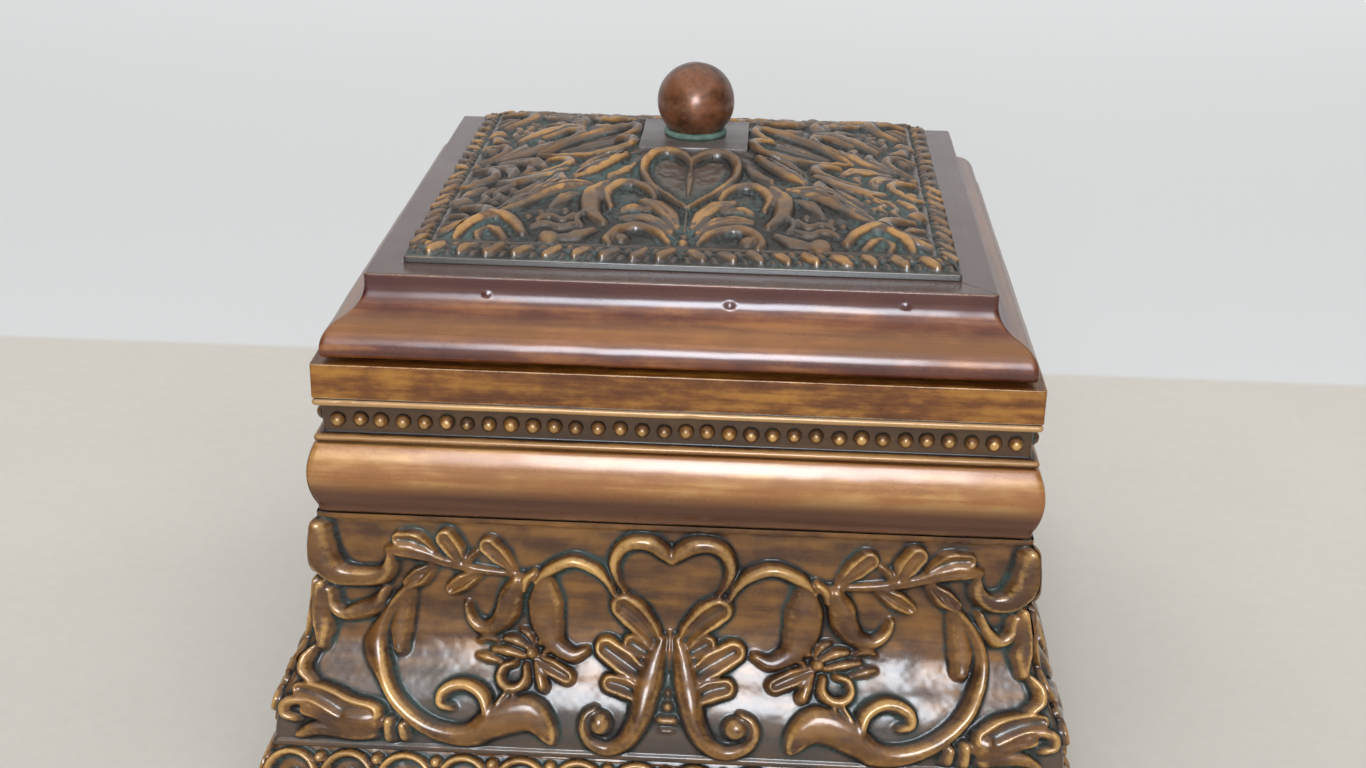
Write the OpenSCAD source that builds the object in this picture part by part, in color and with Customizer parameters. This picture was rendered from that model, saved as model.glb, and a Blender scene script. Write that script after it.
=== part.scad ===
// Square casket for silverware, with flared carved sides and a lift-off lid.
// Millimetres, Z up, origin at the centre of the underside.
// The box and the lid are joined from boards, mitred mouldings and applied carving.

/* [Box] */
// Clear width inside the wall boards
inside_w = 200; // [170:1:230]
// Thickness of the wall boards
wall_t = 9; // [7:0.5:12]
// Thickness of the bottom board
bottom_t = 8.8; // [6:0.2:12]
// Thickness of the felt under the base
base_felt_t = 1.2; // [0.8:0.1:3]
// Thickness of the lining on the floor and walls
lining_t = 1.2; // [0.8:0.1:2]
// Distance from the rim down to the top of the wall lining
lining_drop = 9; // [8:0.5:20]

/* [Base moulding] */
// Height of the plain plinth
plinth_h = 8; // [5:0.5:14]
// Projection of the plinth from the wall boards
plinth_out = 28.5; // [27.5:0.5:32]
// Height of the ovolo over the plinth
ovolo_h = 22; // [18:0.5:28]
// Projection of the ovolo at its foot
ovolo_out = 26.5; // [24:0.5:27]
// Spacing of the eggs
egg_pitch = 19; // [17:0.5:24]
// Width of an egg
egg_w = 8.6; // [7:0.2:9]
// Height of an egg
egg_h = 15; // [12:0.5:16]
// Width of the rim round an egg
shell_t = 2.4; // [1.6:0.2:2.6]
// Height of the egg-and-dart over its bed
egg_relief = 2.2; // [1.5:0.1:3]

/* [Flared panels] */
// Height of the flared panels
panel_h = 79; // [70:1:95]
// Height of the flare itself, measured from the foot of the panel
flare_h = 51; // [40:1:60]
// Thickness of a panel at its top edge
panel_top_t = 5.6; // [4:0.2:8]
// Thickness of a panel where the flare starts
panel_waist_t = 6.8; // [5:0.2:9]
// Thickness of a panel at its foot
panel_foot_t = 21; // [14:0.5:24]
// Height of the scrollwork over the panel
scroll_relief = 3.4; // [2:0.1:5]

/* [Rim] */
// Height of the torus moulding, with its fillet
torus_h = 24.5; // [18:0.5:30]
// Height of the fillet below the torus
torus_fillet_h = 2; // [1:0.5:4]
// Projection of the fillet from the wall boards
fillet_out = 6.1; // [4:0.1:8]
// Swell of the torus over its fillet
torus_swell = 2.8; // [1.5:0.1:5]
// Height of the beaded channel with its two rolls
channel_h = 15.3; // [12:0.1:20]
// Depth of the channel behind the fascia
channel_deep = 2.6; // [1.5:0.1:3.5]
// Radius of the two rolls along the channel
roll_r = 1.5; // [1:0.1:2]
// Diameter of a bead
bead_d = 5.3; // [4:0.1:6.5]
// Spacing of the beads
bead_pitch = 6.9; // [6.8:0.1:9]
// Height of the plain fascia
fascia_h = 11.7; // [8:0.1:16]
// Projection of the fascia from the wall boards
fascia_out = 6.1; // [5:0.1:7]

/* [Lid] */
// Height of the lid moulding
lid_h = 25.5; // [20:0.5:35]
// Set-back of the lid's lip from the fascia
lip_back = 2.5; // [1:0.1:5]
// Overhang of the lip past the flat top of the lid moulding
cove_out = 12.6; // [8:0.1:16]
// Width of the lid moulding, measured at its underside
lid_mould_w = 23.8; // [18:0.1:24]
// Depth of the shadow gap under the lip
shadow_gap = 0.9; // [0.3:0.1:2]
// Thickness of the lid board
lid_board_t = 9; // [6:0.5:12]
// Thickness of the lid lips
lid_lip_t = 4; // [3:0.5:6]
// Depth that the lid lips reach into the box
lid_lip_drop = 6; // [4:0.5:7]
// Clearance between a lid lip and the inside of the box
lid_clear = 1.2; // [0.6:0.1:2]

/* [Carved top] */
// Width of the margin round the carved top
top_margin = 11; // [6:0.5:20]
// Height of the edge of the carved top
top_edge_h = 2.4; // [1.5:0.1:5]
// Rise of the carved top from its edge to the knob plinth
top_rise = 17.2; // [10:0.2:25]
// Width of the bead-and-leaf border
border_w = 7; // [5:0.5:9]
// Spacing of the leaves in the border
border_pitch = 9.2; // [9:0.1:12]
// Height of the leaves of that border
border_relief = 1.6; // [1:0.1:2.5]
// Height of the ornament over the carved top
top_relief = 3; // [2:0.1:4]

/* [Knob] */
// Diameter of the ball
ball_d = 27.4; // [22:0.2:36]
// Width of the square knob plinth
knob_plinth_w = 38; // [32:0.5:44]
// Height of the knob plinth
knob_plinth_h = 2.2; // [1.5:0.1:4]
// Height of the collar under the ball
collar_h = 2.2; // [1.6:0.2:4]
// Radius of the collar
collar_r = 12.2; // [11:0.2:14]
// Diameter of the flat foot of the ball
ball_foot_d = 19.3; // [14:0.1:20]
// Diameter of the knob screw
knob_screw_d = 5; // [4:0.5:6]
// Length of the knob screw inside the ball
knob_screw_grip = 12; // [8:0.5:14]
// Diameter of the washer under the screw's head
washer_d = 15; // [12:0.5:20]
// Thickness of that washer
washer_t = 1.2; // [0.8:0.1:2]
// Diameter of the brass insert in the ball
insert_d = 8; // [7:0.5:9]

/* [Bottom screws] */
// Diameter of a bottom screw
wood_screw_d = 3.5; // [3:0.5:4]
// Length of a bottom screw
wood_screw_l = 26; // [20:1:32]
// Distance of the outer screws from the corners of the bottom board
wood_screw_inset = 40; // [30:1:60]

/* [Hidden] */
SIDES = ["front", "right", "back", "left"];

// A hair of clearance between a screw and its hole, and the play of a sheet of lining
hair = 0.05;
sheet_play = 0.2;

// Distances from the centre to the faces of the box
in_r = inside_w / 2;
wall_r = in_r + wall_t;
fascia_r = wall_r + fascia_out;
fillet_r = wall_r + fillet_out;
panel_top_r = wall_r + panel_top_t;
panel_waist_r = wall_r + panel_waist_t;
panel_foot_r = wall_r + panel_foot_t;
ovolo_r = wall_r + ovolo_out;
plinth_r = wall_r + plinth_out;

// Heights of the box, from the ground up
board_top_z = base_felt_t + bottom_t;
panel_z = plinth_h + ovolo_h;
torus_z = panel_z + panel_h;
channel_z = torus_z + torus_h;
fascia_z = channel_z + channel_h;
rim_z = fascia_z + fascia_h;

// Places of the bottom screws along a wall board
screw_x = [wood_screw_inset - wall_r, wall_r - wood_screw_inset];
screw_r = in_r + wall_t / 2;

// The flare of a panel and the number of flat strips that it is worked in
flare_out = panel_foot_r - panel_waist_r;
flare_z = panel_z + flare_h;
flare_steps = 8;

// Faces and heights of the lid
lip_r = fascia_r - lip_back;
top_r = lip_r - cove_out;
mould_in_r = lip_r - lid_mould_w;
lid_top_z = rim_z + lid_h;
lid_board_z = lid_top_z - lid_board_t;
lid_lip_r = in_r - lid_clear;
carved_r = top_r - top_margin;
knob_plinth_r = knob_plinth_w / 2;
top_slope = top_rise / (carved_r - knob_plinth_r);
hip_top_z = lid_top_z + top_edge_h + top_rise;

// Heights of the knob
knob_plinth_z = hip_top_z;
collar_z = knob_plinth_z + knob_plinth_h;
ball_foot_z = collar_z + collar_h;
ball_r = ball_d / 2;
ball_z = ball_foot_z + sqrt(ball_r * ball_r - ball_foot_d * ball_foot_d / 4);
screw_hole_d = knob_screw_d + 0.6;
screw_head_d = 2 * knob_screw_d;
screw_head_h = 0.7 * knob_screw_d;
insert_h = knob_screw_grip - 1;

// How deep the carving is drawn into its bed before it is cut flush with it
bed = 1;

// The carving is drawn for a panel and a slope of these sizes and follows the real ones
drawn_foot_r = 130;
drawn_panel_h = 79;
drawn_carved_r = 89;
drawn_slope_run = 70;
side_scale = panel_foot_r / drawn_foot_r;
drop_scale = panel_h / drawn_panel_h;
top_scale = carved_r / drawn_carved_r;
slope_scale = (carved_r - knob_plinth_r) / drawn_slope_run;

wood = [0.42, 0.27, 0.17];
mahogany = [0.36, 0.15, 0.09];
copper = [0.50, 0.30, 0.18];
bronze = [0.62, 0.45, 0.26];
gold = [0.76, 0.58, 0.30];
verdigris = [0.30, 0.48, 0.42];
felt = [0.22, 0.08, 0.10];
brass = [0.80, 0.66, 0.32];
steel = [0.62, 0.62, 0.64];

function mix(a, b, t) = a + (b - a) * t;
function ease(t) = t * t * (3 - 2 * t);

// An ogee: a hollow arc over a round arc of the same radius, upright at both ends.
// The projection that it has reached at a depth below its start.
function ogee(out, high, depth) =
    let (r = (out * out + high * high) / (4 * out))
    depth <= high / 2
        ? r - sqrt(r * r - depth * depth)
        : out - r + sqrt(r * r - pow(high - depth, 2));

// Distance from the centre to the face of a flared panel at height z
function flare_r(z) =
    z >= flare_z
        ? mix(panel_waist_r, panel_top_r, (z - flare_z) / (torus_z - flare_z))
        : panel_waist_r + ogee(flare_out, flare_h, flare_z - z);

// Distance from the centre to the face of the ovolo at a share t of its height
function ovolo_face_r(t) = mix(ovolo_r, panel_foot_r, t * t);

// A point on a cubic curve with four control points, and a row of points along it
function on_curve(p, t) =
    pow(1 - t, 3) * p[0] + 3 * t * pow(1 - t, 2) * p[1] + 3 * t * t * (1 - t) * p[2] + pow(t, 3) * p[3];
function curve(p, n) = [for (i = [0 : n]) on_curve(p, i / n)];

// A row of points winding round a centre while the radius shrinks
function volute(c, r0, r1, a0, a1, n) =
    [for (i = [0 : n]) c + mix(r0, r1, i / n) * [cos(mix(a0, a1, i / n)), sin(mix(a0, a1, i / n))]];

// The direction across a path at its point i
function across(path, i) =
    let (d = path[min(i + 1, len(path) - 1)] - path[max(i - 1, 0)]) [-d[1], d[0]] / norm(d);

// Width along a leaf or stem, from its start over its middle to its tip
function swell(w, t) = t < 0.5 ? mix(w[0], w[1], ease(2 * t)) : mix(w[1], w[2], ease(2 * t - 1));

// A point of the side carving: drawn across the panel and down from its top edge, lifted off the panel
function on_panel(p, lift) =
    let (z = torus_z - drop_scale * p[1]) [side_scale * p[0], -flare_r(z) - lift, z];

// A point of the top carving: drawn along the edge and in from the edge, lifted off the slope
function on_top(p, lift) =
    let (run = slope_scale * p[1])
    [top_scale * p[0], run - carved_r, lid_top_z + top_edge_h + top_slope * run + lift];

// One ring of a carved stem: both feet under the bed and the crest between them
function stem_ring(path, i, w, high, side_panel) =
    let (
        width = swell(w, i / (len(path) - 1)),
        a = across(path, i) * (side_panel ? width : -width) / 2,
        lift = high * sqrt(width / max(w))
    )
    side_panel
        ? [on_panel(path[i] + a, -bed), on_panel(path[i], lift), on_panel(path[i] - a, -bed)]
        : [on_top(path[i] + a, -bed), on_top(path[i], lift), on_top(path[i] - a, -bed)];

// Turns a part of the front side to side number s
module on_side(s) {
    rotate([0, 0, 90 * s]) children();
}

// Runs a profile, drawn as distance from the centre and height, across the front and mitres its ends
module mitred(reach, high) {
    far = reach + 1;
    intersection() {
        rotate([90, 0, -90]) linear_extrude(2 * far, center = true) children();
        translate([0, 0, -1]) linear_extrude(high + 2) polygon([[0, 0], [-far, -far], [far, -far]]);
    }
}

// A carved stem or leaf with a sharp crest along a path
module stem(path, w, high, side_panel = true) {
    last = len(path) - 1;
    rings = [for (i = [0 : last]) each stem_ring(path, i, w, high, side_panel)];
    polyhedron(
        points = rings,
        faces = [
            [0, 2, 1],
            for (i = [0 : last - 1], k = [0 : 2])
                each [
                    [3 * i + k, 3 * i + (k + 1) % 3, 3 * i + 3 + k],
                    [3 * i + (k + 1) % 3, 3 * i + 3 + (k + 1) % 3, 3 * i + 3 + k]
                ],
            [3 * last, 3 * last + 1, 3 * last + 2]
        ]
    );
}

// A round boss or bud that lies on the side panel or on the carved top
module bud(from, to, size, side_panel = true) {
    r = size * (side_panel ? side_scale : top_scale);
    hull() {
        translate(side_panel ? on_panel(from, 0.2 * r) : on_top(from, 0.2 * r)) sphere(r, $fn = 6);
        translate(side_panel ? on_panel(to, 0.3 * r) : on_top(to, 0.3 * r)) sphere(0.6 * r, $fn = 5);
    }
}

module base_profile() {
    steps = 8;
    polygon([
        [wall_r, base_felt_t],
        [plinth_r, base_felt_t],
        [plinth_r, plinth_h - 1],
        [plinth_r - 1, plinth_h],
        for (i = [0 : steps]) [ovolo_face_r(i / steps), mix(plinth_h, panel_z, i / steps)],
        [wall_r, panel_z]
    ]);
}

module base_moulding(s) {
    color(copper) on_side(s) mitred(plinth_r, panel_z) base_profile();
}

// The rim round one egg: an arch on two straight legs, closed by the plinth below
module egg_shell() {
    arch_r = egg_pitch / 2 - shell_t / 2;
    arch_z = panel_z - 1 - arch_r;
    difference() {
        union() {
            translate([0, arch_z]) circle(arch_r, $fn = 48);
            translate([-arch_r, plinth_h]) square([2 * arch_r, arch_z - plinth_h]);
        }
        translate([0, arch_z]) circle(arch_r - shell_t, $fn = 48);
        translate([shell_t - arch_r, plinth_h - 1]) square([2 * (arch_r - shell_t), arch_z - plinth_h + 1]);
    }
}

// A pointed egg, as a revolved lens
module egg() {
    lens_r = (egg_w * egg_w + egg_h * egg_h) / (4 * egg_w);
    rotate_extrude($fn = 32)
        intersection() {
            translate([egg_w / 2 - lens_r, 0]) circle(lens_r, $fn = 96);
            translate([0, -egg_h / 2]) square([egg_w / 2, egg_h]);
        }
}

module egg_and_dart(s) {
    count = floor(2 * (panel_foot_r + 3.5) / egg_pitch);
    egg_y = -(ovolo_face_r(0.4) + egg_relief - egg_w / 2);
    egg_z = plinth_h + 1 + egg_h / 2;
    color(bronze) on_side(s) difference() {
        for (i = [0 : count - 1]) {
            x = (i - (count - 1) / 2) * egg_pitch;
            intersection() {
                translate([x, 0, 0]) rotate([90, 0, 0]) linear_extrude(2 * plinth_r) egg_shell();
                rotate([90, 0, -90]) linear_extrude(2 * plinth_r, center = true) raised_ovolo();
            }
            translate([x, egg_y, egg_z]) egg();
            if (i > 0)
                translate([x - egg_pitch / 2, -ovolo_face_r(0.75), panel_z - 3.2]) sphere(1.9, $fn = 24);
        }
        rotate([90, 0, -90]) linear_extrude(3 * plinth_r, center = true) base_profile();
    }
}

// The face of the ovolo, raised by the relief of the enrichment
module raised_ovolo() {
    steps = 8;
    polygon([
        for (i = [0 : steps]) [ovolo_face_r(i / steps) - bed, mix(plinth_h, panel_z, i / steps)],
        for (i = [steps : -1 : 0]) [ovolo_face_r(i / steps) + egg_relief, mix(plinth_h, panel_z, i / steps)]
    ]);
}

module panel_profile() {
    polygon([
        [wall_r, panel_z],
        for (i = [0 : flare_steps])
            let (z = mix(panel_z, flare_z, i / flare_steps)) [flare_r(z), z],
        [panel_top_r, torus_z],
        [wall_r, torus_z]
    ]);
}

module flared_panel(s) {
    color(copper) on_side(s) mitred(panel_foot_r, torus_z) panel_profile();
}

// Half of the heart under the rim
module heart() {
    stem(
        concat(
            curve([[-0.8, 13.5], [4, 2], [22, 4], [18, 17]], 4),
            curve([[16.5, 22], [13, 29], [6, 33], [1, 41]], 2)
        ),
        [4, 6.4, 1.8], scroll_relief
    );
}

// The acanthus spray beside the heart: three lobes and a stem that rolls into a volute
module inner_leaf() {
    h = scroll_relief;
    stem(curve([[6, 37.5], [10, 30], [14, 26.5], [19.5, 26]], 2), [2.4, 7.6, 2], 0.8 * h);
    stem(curve([[7, 50], [12, 45], [18, 42.5], [25, 42.5]], 3), [2.4, 7, 1.6], h);
    stem(curve([[9, 58.5], [12, 55], [17, 54.5], [22.5, 55.5]], 2), [2.4, 5.4, 1.4], 0.9 * h);
    stem(
        concat(
            curve([[3, 42], [5, 56], [6, 74], [17, 75.6]], 4),
            volute([20.6, 69.4], 6.4, 3.6, 50, -150, 4)
        ),
        [3, 7.8, 3], h
    );
    bud([21.4, 69.4], [20.8, 69.8], 2);
}

// The stem that arches off the heart into a broad leaf and a cup
module arch_and_cup() {
    h = scroll_relief;
    stem(curve([[20.5, 21], [24, 9], [36, 9], [44.5, 20]], 4), [2.4, 5, 4], h);
    stem(curve([[45, 23], [48, 36], [42, 46.5], [28.5, 45]], 4), [6.6, 9.8, 2.4], h);
    stem(curve([[51.6, 22], [54, 40], [70, 47.5], [70, 28]], 4), [6, 8.4, 2.6], h);
}

// The small curled flower under the cup
module flower() {
    h = 0.8 * scroll_relief;
    stem(curve([[46, 49], [42, 46], [36, 49], [35, 55]], 2), [2, 4, 1], h);
    stem(curve([[48.5, 50.5], [54, 50], [61, 57], [53, 59]], 3), [2, 4, 1.4], h);
    stem(curve([[50, 47.5], [55, 46.5], [62, 46], [68, 48]], 2), [1.4, 2.6, 1], h);
}

// The large scroll that runs down to the foot and ends in a hooked leaf
module great_scroll() {
    h = scroll_relief;
    stem(
        concat(
            curve([[86, 21], [97, 27], [104, 44], [98.5, 57]], 4),
            curve([[95.5, 63], [89, 71.5], [80, 75], [69, 74]], 2)
        ),
        [3, 5.4, 8], h
    );
    stem(curve([[66, 73], [52, 66], [45, 57], [39.5, 76]], 4), [7, 8.4, 2], h);
    stem(curve([[62.8, 71], [58, 55], [78, 52], [78.4, 64.5]], 4), [5, 4.6, 3.2], h);
    stem(curve([[90, 26], [91.5, 33], [93, 39], [94.5, 46]], 2), [3, 6.4, 3], 0.8 * h);
    bud([75.6, 66.2], [74.6, 66.6], 1.8);
}

// The oak sprig under the rim
module sprig() {
    h = 0.8 * scroll_relief;
    stem(curve([[51, 19], [64, 18.5], [76, 17], [95, 11.8]], 3), [2, 3.6, 4], h);
    stem(curve([[54.5, 17], [57, 12], [60, 8.5], [65.5, 7]], 2), [2, 5.6, 2], h);
    stem(curve([[72, 15], [74, 9.5], [76.5, 6], [80, 4.5]], 2), [2, 5.6, 2], h);
    stem(curve([[80.5, 12.5], [85, 9], [91, 7], [97, 8.5]], 2), [2, 4.4, 1.6], h);
}

// The shells and the small spray at the corner
module corner_leaf() {
    h = scroll_relief;
    stem(curve([[98.5, 10.5], [98, 26], [112, 27], [110.4, 8]], 4), [3.4, 7.6, 5], h);
    stem(curve([[100.8, 28], [101, 39.5], [109.5, 40.5], [109, 28]], 4), [2.6, 4.4, 2.6], h);
    stem(curve([[111.8, 28], [111.4, 34], [112, 41], [114, 46.5]], 2), [3, 5.4, 2.4], 0.9 * h);
    stem(curve([[114.5, 49.5], [118, 53], [117.5, 57], [112, 59.5]], 2), [2.6, 3.8, 2], 0.8 * h);
    stem(curve([[100, 68], [106, 64], [112, 62.5], [122, 62]], 2), [2.6, 4.8, 2.2], 0.9 * h);
    stem(curve([[101, 74.5], [108, 69], [114, 68], [122, 69.5]], 2), [2.6, 4.8, 2.2], 0.9 * h);
    bud([92, 75.5], [92.4, 73], 2.1);
}

module half_scrollwork() {
    heart();
    inner_leaf();
    arch_and_cup();
    flower();
    great_scroll();
    sprig();
    corner_leaf();
}

// The carving of one side, cut flush with the panel that carries it and with the base moulding under it
module scrollwork(s) {
    color(gold) on_side(s) difference() {
        union() {
            half_scrollwork();
            mirror([1, 0, 0]) half_scrollwork();
            stem([[0, 37], [0, 43], [0, 50]], [1.2, 2.6, 1.2], 0.95 * scroll_relief);
            bud([0, 56.5], [0, 57], 1.6);
            bud([0, 61.5], [0, 62], 1.8);
        }
        mitred(panel_foot_r, torus_z) panel_profile();
        translate([-2 * plinth_r, -2 * plinth_r, 0]) cube([4 * plinth_r, 2 * plinth_r, panel_z]);
    }
}

module torus_profile() {
    round_h = torus_h - torus_fillet_h;
    round_z = torus_z + torus_fillet_h + round_h / 2;
    round_r = (torus_swell * torus_swell + round_h * round_h / 4) / (2 * torus_swell);
    translate([wall_r, torus_z]) square([fillet_out, torus_h]);
    intersection() {
        translate([fillet_r + torus_swell - round_r, round_z]) circle(round_r, $fn = 200);
        translate([wall_r, torus_z + torus_fillet_h]) square([fillet_out + torus_swell, round_h]);
    }
}

module torus_moulding(s) {
    color(copper) on_side(s) mitred(fillet_r + torus_swell, channel_z) torus_profile();
}

module rim_profile() {
    difference() {
        translate([in_r, channel_z]) square([fascia_r - in_r, channel_h + fascia_h]);
        translate([fascia_r - channel_deep, channel_z + 2 * roll_r])
            square([channel_deep + 1, channel_h - 4 * roll_r]);
        for (z = [channel_z, fascia_z - 2 * roll_r])
            translate([fascia_r - roll_r, z]) square([roll_r + 1, 2 * roll_r]);
    }
    for (z = [channel_z + roll_r, fascia_z - roll_r])
        translate([fascia_r - roll_r, z]) circle(roll_r, $fn = 48);
}

module rim_moulding(s) {
    color(bronze) on_side(s) mitred(fascia_r, rim_z) rim_profile();
}

module rim_beads(s) {
    floor_r = fascia_r - channel_deep;
    count = floor((2 * floor_r - 1) / bead_pitch);
    color(gold) on_side(s)
        for (i = [0 : count - 1])
            translate([(i - (count - 1) / 2) * bead_pitch, -floor_r, channel_z + channel_h / 2])
                intersection() {
                    sphere(d = bead_d, $fn = 32);
                    translate([-bead_d, -bead_d, -bead_d]) cube([2 * bead_d, bead_d, 2 * bead_d]);
                }
}

module wall_board(s) {
    color(wood) on_side(s) difference() {
        mitred(wall_r, channel_z)
            translate([in_r, board_top_z]) square([wall_t, channel_z - board_top_z]);
        for (x = screw_x)
            translate([x, -screw_r, 0]) cylinder(h = base_felt_t + wood_screw_l + 1, d = wood_screw_d + 2 * hair);
    }
}

// The shape of one countersunk screw, grown by a clearance for its hole
module wood_screw(grow) {
    head_d = 2 * wood_screw_d;
    translate([0, 0, base_felt_t]) {
        cylinder(h = wood_screw_l + grow, d = wood_screw_d + 2 * grow);
        cylinder(h = head_d / 2 - wood_screw_d / 2, d1 = head_d + 2 * grow, d2 = wood_screw_d + 2 * grow);
    }
}

module bottom_screws() {
    color(steel)
        for (s = [0 : 3], x = screw_x) on_side(s) translate([x, -screw_r, 0]) wood_screw(0);
}

module bottom_board() {
    color(wood) difference() {
        translate([-wall_r, -wall_r, base_felt_t]) cube([2 * wall_r, 2 * wall_r, bottom_t]);
        for (s = [0 : 3], x = screw_x) on_side(s) translate([x, -screw_r, 0]) wood_screw(hair);
    }
}

module base_felt() {
    felt_r = plinth_r - 1;
    color(felt) translate([-felt_r, -felt_r, 0]) cube([2 * felt_r, 2 * felt_r, base_felt_t]);
}

module floor_lining() {
    color(felt) translate([sheet_play - in_r, sheet_play - in_r, board_top_z])
        cube([2 * (in_r - sheet_play), 2 * (in_r - sheet_play), lining_t]);
}

module wall_lining() {
    low_z = board_top_z + lining_t;
    high = rim_z - lining_drop - low_z;
    color(felt) translate([0, 0, low_z]) linear_extrude(high) difference() {
        square(2 * in_r, center = true);
        square(2 * (in_r - lining_t), center = true);
    }
}

// The lid moulding: an arris, a steep hollow, a swelling and a rounded lip over a shadow gap
module lid_profile() {
    steps = 16;
    arris_h = 0.15 * lid_h;
    lip_h = 0.14 * lid_h;
    sweep_h = lid_h - arris_h - lip_h;
    gap_r = fascia_r - 3 * lip_back;
    polygon([
        [mould_in_r, rim_z],
        [mould_in_r, lid_top_z],
        [top_r, lid_top_z],
        for (i = [0 : steps])
            let (depth = sweep_h * i / steps) [top_r + ogee(cove_out, sweep_h, depth), lid_top_z - arris_h - depth],
        [lip_r, rim_z + shadow_gap + 1],
        [lip_r - 1, rim_z + shadow_gap],
        [gap_r, rim_z + shadow_gap],
        [gap_r, rim_z]
    ]);
}

module lid_moulding(s) {
    color(mahogany) on_side(s) mitred(lip_r, lid_top_z) lid_profile();
}

module lid_lip(s) {
    color(wood) on_side(s) mitred(lid_lip_r, rim_z)
        translate([lid_lip_r - lid_lip_t, rim_z - lid_lip_drop]) square([lid_lip_t, lid_lip_drop]);
}

module lid_board() {
    color(wood) difference() {
        translate([-mould_in_r, -mould_in_r, lid_board_z]) cube([2 * mould_in_r, 2 * mould_in_r, lid_board_t]);
        translate([0, 0, lid_board_z - 1]) cylinder(h = lid_board_t + 2, d = screw_hole_d);
    }
}

module lid_lining() {
    sheet_r = mould_in_r - sheet_play;
    color(felt) difference() {
        translate([-sheet_r, -sheet_r, lid_board_z - lining_t]) cube([2 * sheet_r, 2 * sheet_r, lining_t]);
        translate([0, 0, lid_board_z - lining_t - 1]) cylinder(h = lining_t + 2, d = washer_d + 1);
    }
}

// The hip from its edge up to the knob plinth, seen from one side
module hip_profile(low_z) {
    polygon([
        [-carved_r, low_z], [carved_r, low_z], [carved_r, lid_top_z + top_edge_h],
        [knob_plinth_r, hip_top_z], [-knob_plinth_r, hip_top_z], [-carved_r, lid_top_z + top_edge_h]
    ]);
}

module hip(low_z) {
    intersection() {
        rotate([90, 0, 0]) linear_extrude(2 * carved_r, center = true) hip_profile(low_z);
        rotate([90, 0, 90]) linear_extrude(2 * carved_r, center = true) hip_profile(low_z);
    }
}

module carved_top() {
    color(copper) difference() {
        hip(lid_top_z);
        translate([0, 0, lid_top_z - 1]) cylinder(h = top_edge_h + top_rise + 2, d = screw_hole_d);
    }
}

// The border of pointed leaves with a bead between each pair
module top_border(s) {
    leaf_w = 0.5 * border_pitch;
    leaf_r = (leaf_w * leaf_w + border_w * border_w) / (4 * leaf_w);
    bead_r = 0.19 * border_pitch;
    row_r = carved_r - border_w / 2 - 0.5;
    row_z = lid_top_z + top_edge_h + top_slope * (carved_r - row_r);
    count = floor((2 * carved_r - 3 * border_w) / border_pitch);
    color(bronze) on_side(s)
        for (i = [0 : count - 1])
            translate([(i - (count - 1) / 2) * border_pitch, -row_r, row_z]) rotate([atan(top_slope), 0, 0]) {
                linear_extrude(border_relief) intersection() {
                    translate([leaf_w / 2 - leaf_r, 0]) circle(leaf_r, $fn = 64);
                    translate([leaf_r - leaf_w / 2, 0]) circle(leaf_r, $fn = 64);
                }
                if (i < count - 1)
                    translate([border_pitch / 2, 0, 0]) rotate_extrude($fn = 32) intersection() {
                        circle(bead_r, $fn = 32);
                        square(bead_r);
                    }
            }
}

// Half of the ornament on one slope of the carved top
module half_top_ornament() {
    h = top_relief;
    // Half of the heart
    stem(
        concat(curve([[-0.8, 57.5], [2, 70], [18, 69], [15.5, 56]], 4), curve([[14, 50], [10, 46], [5, 43], [1, 34]], 2)),
        [2.4, 3.8, 1.4], h, false
    );
    // The arch beside the heart and the leaf that hangs from it
    stem(curve([[10, 37], [14, 52], [27, 50], [25, 34]], 4), [1.6, 3.4, 3], h, false);
    stem(curve([[28.5, 34], [37, 43], [45, 36], [41, 27]], 3), [3, 6, 1.4], h, false);
    // The leaf that runs up the hip
    stem(curve([[32, 44], [32, 49], [28, 55], [24, 61]], 2), [1.6, 4, 1.2], h, false);
    // The spray over the border, with its volute
    stem(curve([[2.4, 31], [4, 20], [8, 12], [18, 12]], 4), [2, 4, 2.6], h, false);
    stem(curve([[7, 28], [10, 31], [14, 28], [19, 24]], 2), [1.6, 3.6, 1], h, false);
    // The scroll at the corner
    stem(curve([[36, 11.5], [48, 8], [56, 24], [70, 11.5]], 4), [2, 4.4, 1.6], h, false);
    stem(curve([[34, 15], [31, 23], [38, 27], [42, 21]], 3), [2, 3.4, 1.2], h, false);
    bud([19.5, 15.5], [18, 17.5], 2, false);
}

module top_scrollwork() {
    color(gold) difference() {
        for (s = [0 : 3]) on_side(s) {
            half_top_ornament();
            mirror([1, 0, 0]) half_top_ornament();
        }
        hip(lid_top_z);
        translate([-knob_plinth_r, -knob_plinth_r, hip_top_z - 1])
            cube([knob_plinth_w, knob_plinth_w, top_relief + top_rise]);
    }
}

module knob_plinth() {
    r = knob_plinth_r;
    color(copper) difference() {
        translate([-r, -r, knob_plinth_z]) cube([2 * r, 2 * r, knob_plinth_h]);
        translate([0, 0, knob_plinth_z - 1]) cylinder(h = knob_plinth_h + 2, d = screw_hole_d);
    }
}

// A turned collar with a rounded rim
module knob_collar() {
    rim_r = collar_h / 2;
    color(verdigris) translate([0, 0, collar_z]) rotate_extrude($fn = 96) {
        translate([screw_hole_d / 2, 0]) square([collar_r - rim_r - screw_hole_d / 2, collar_h]);
        translate([collar_r - rim_r, rim_r]) circle(rim_r, $fn = 48);
    }
}

module knob_ball() {
    color(mahogany) difference() {
        translate([0, 0, ball_z]) sphere(ball_r, $fn = 96);
        translate([-ball_r, -ball_r, ball_foot_z - ball_d]) cube([ball_d, ball_d, ball_d]);
        translate([0, 0, ball_foot_z - 1]) cylinder(h = insert_h + 1, d = insert_d);
        translate([0, 0, ball_foot_z]) cylinder(h = knob_screw_grip + 1, d = screw_hole_d);
    }
}

module knob_insert() {
    color(brass) translate([0, 0, ball_foot_z]) difference() {
        cylinder(h = insert_h, d = insert_d - 2 * hair);
        translate([0, 0, -1]) cylinder(h = insert_h + 2, d = knob_screw_d + 2 * hair);
    }
}

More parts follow.
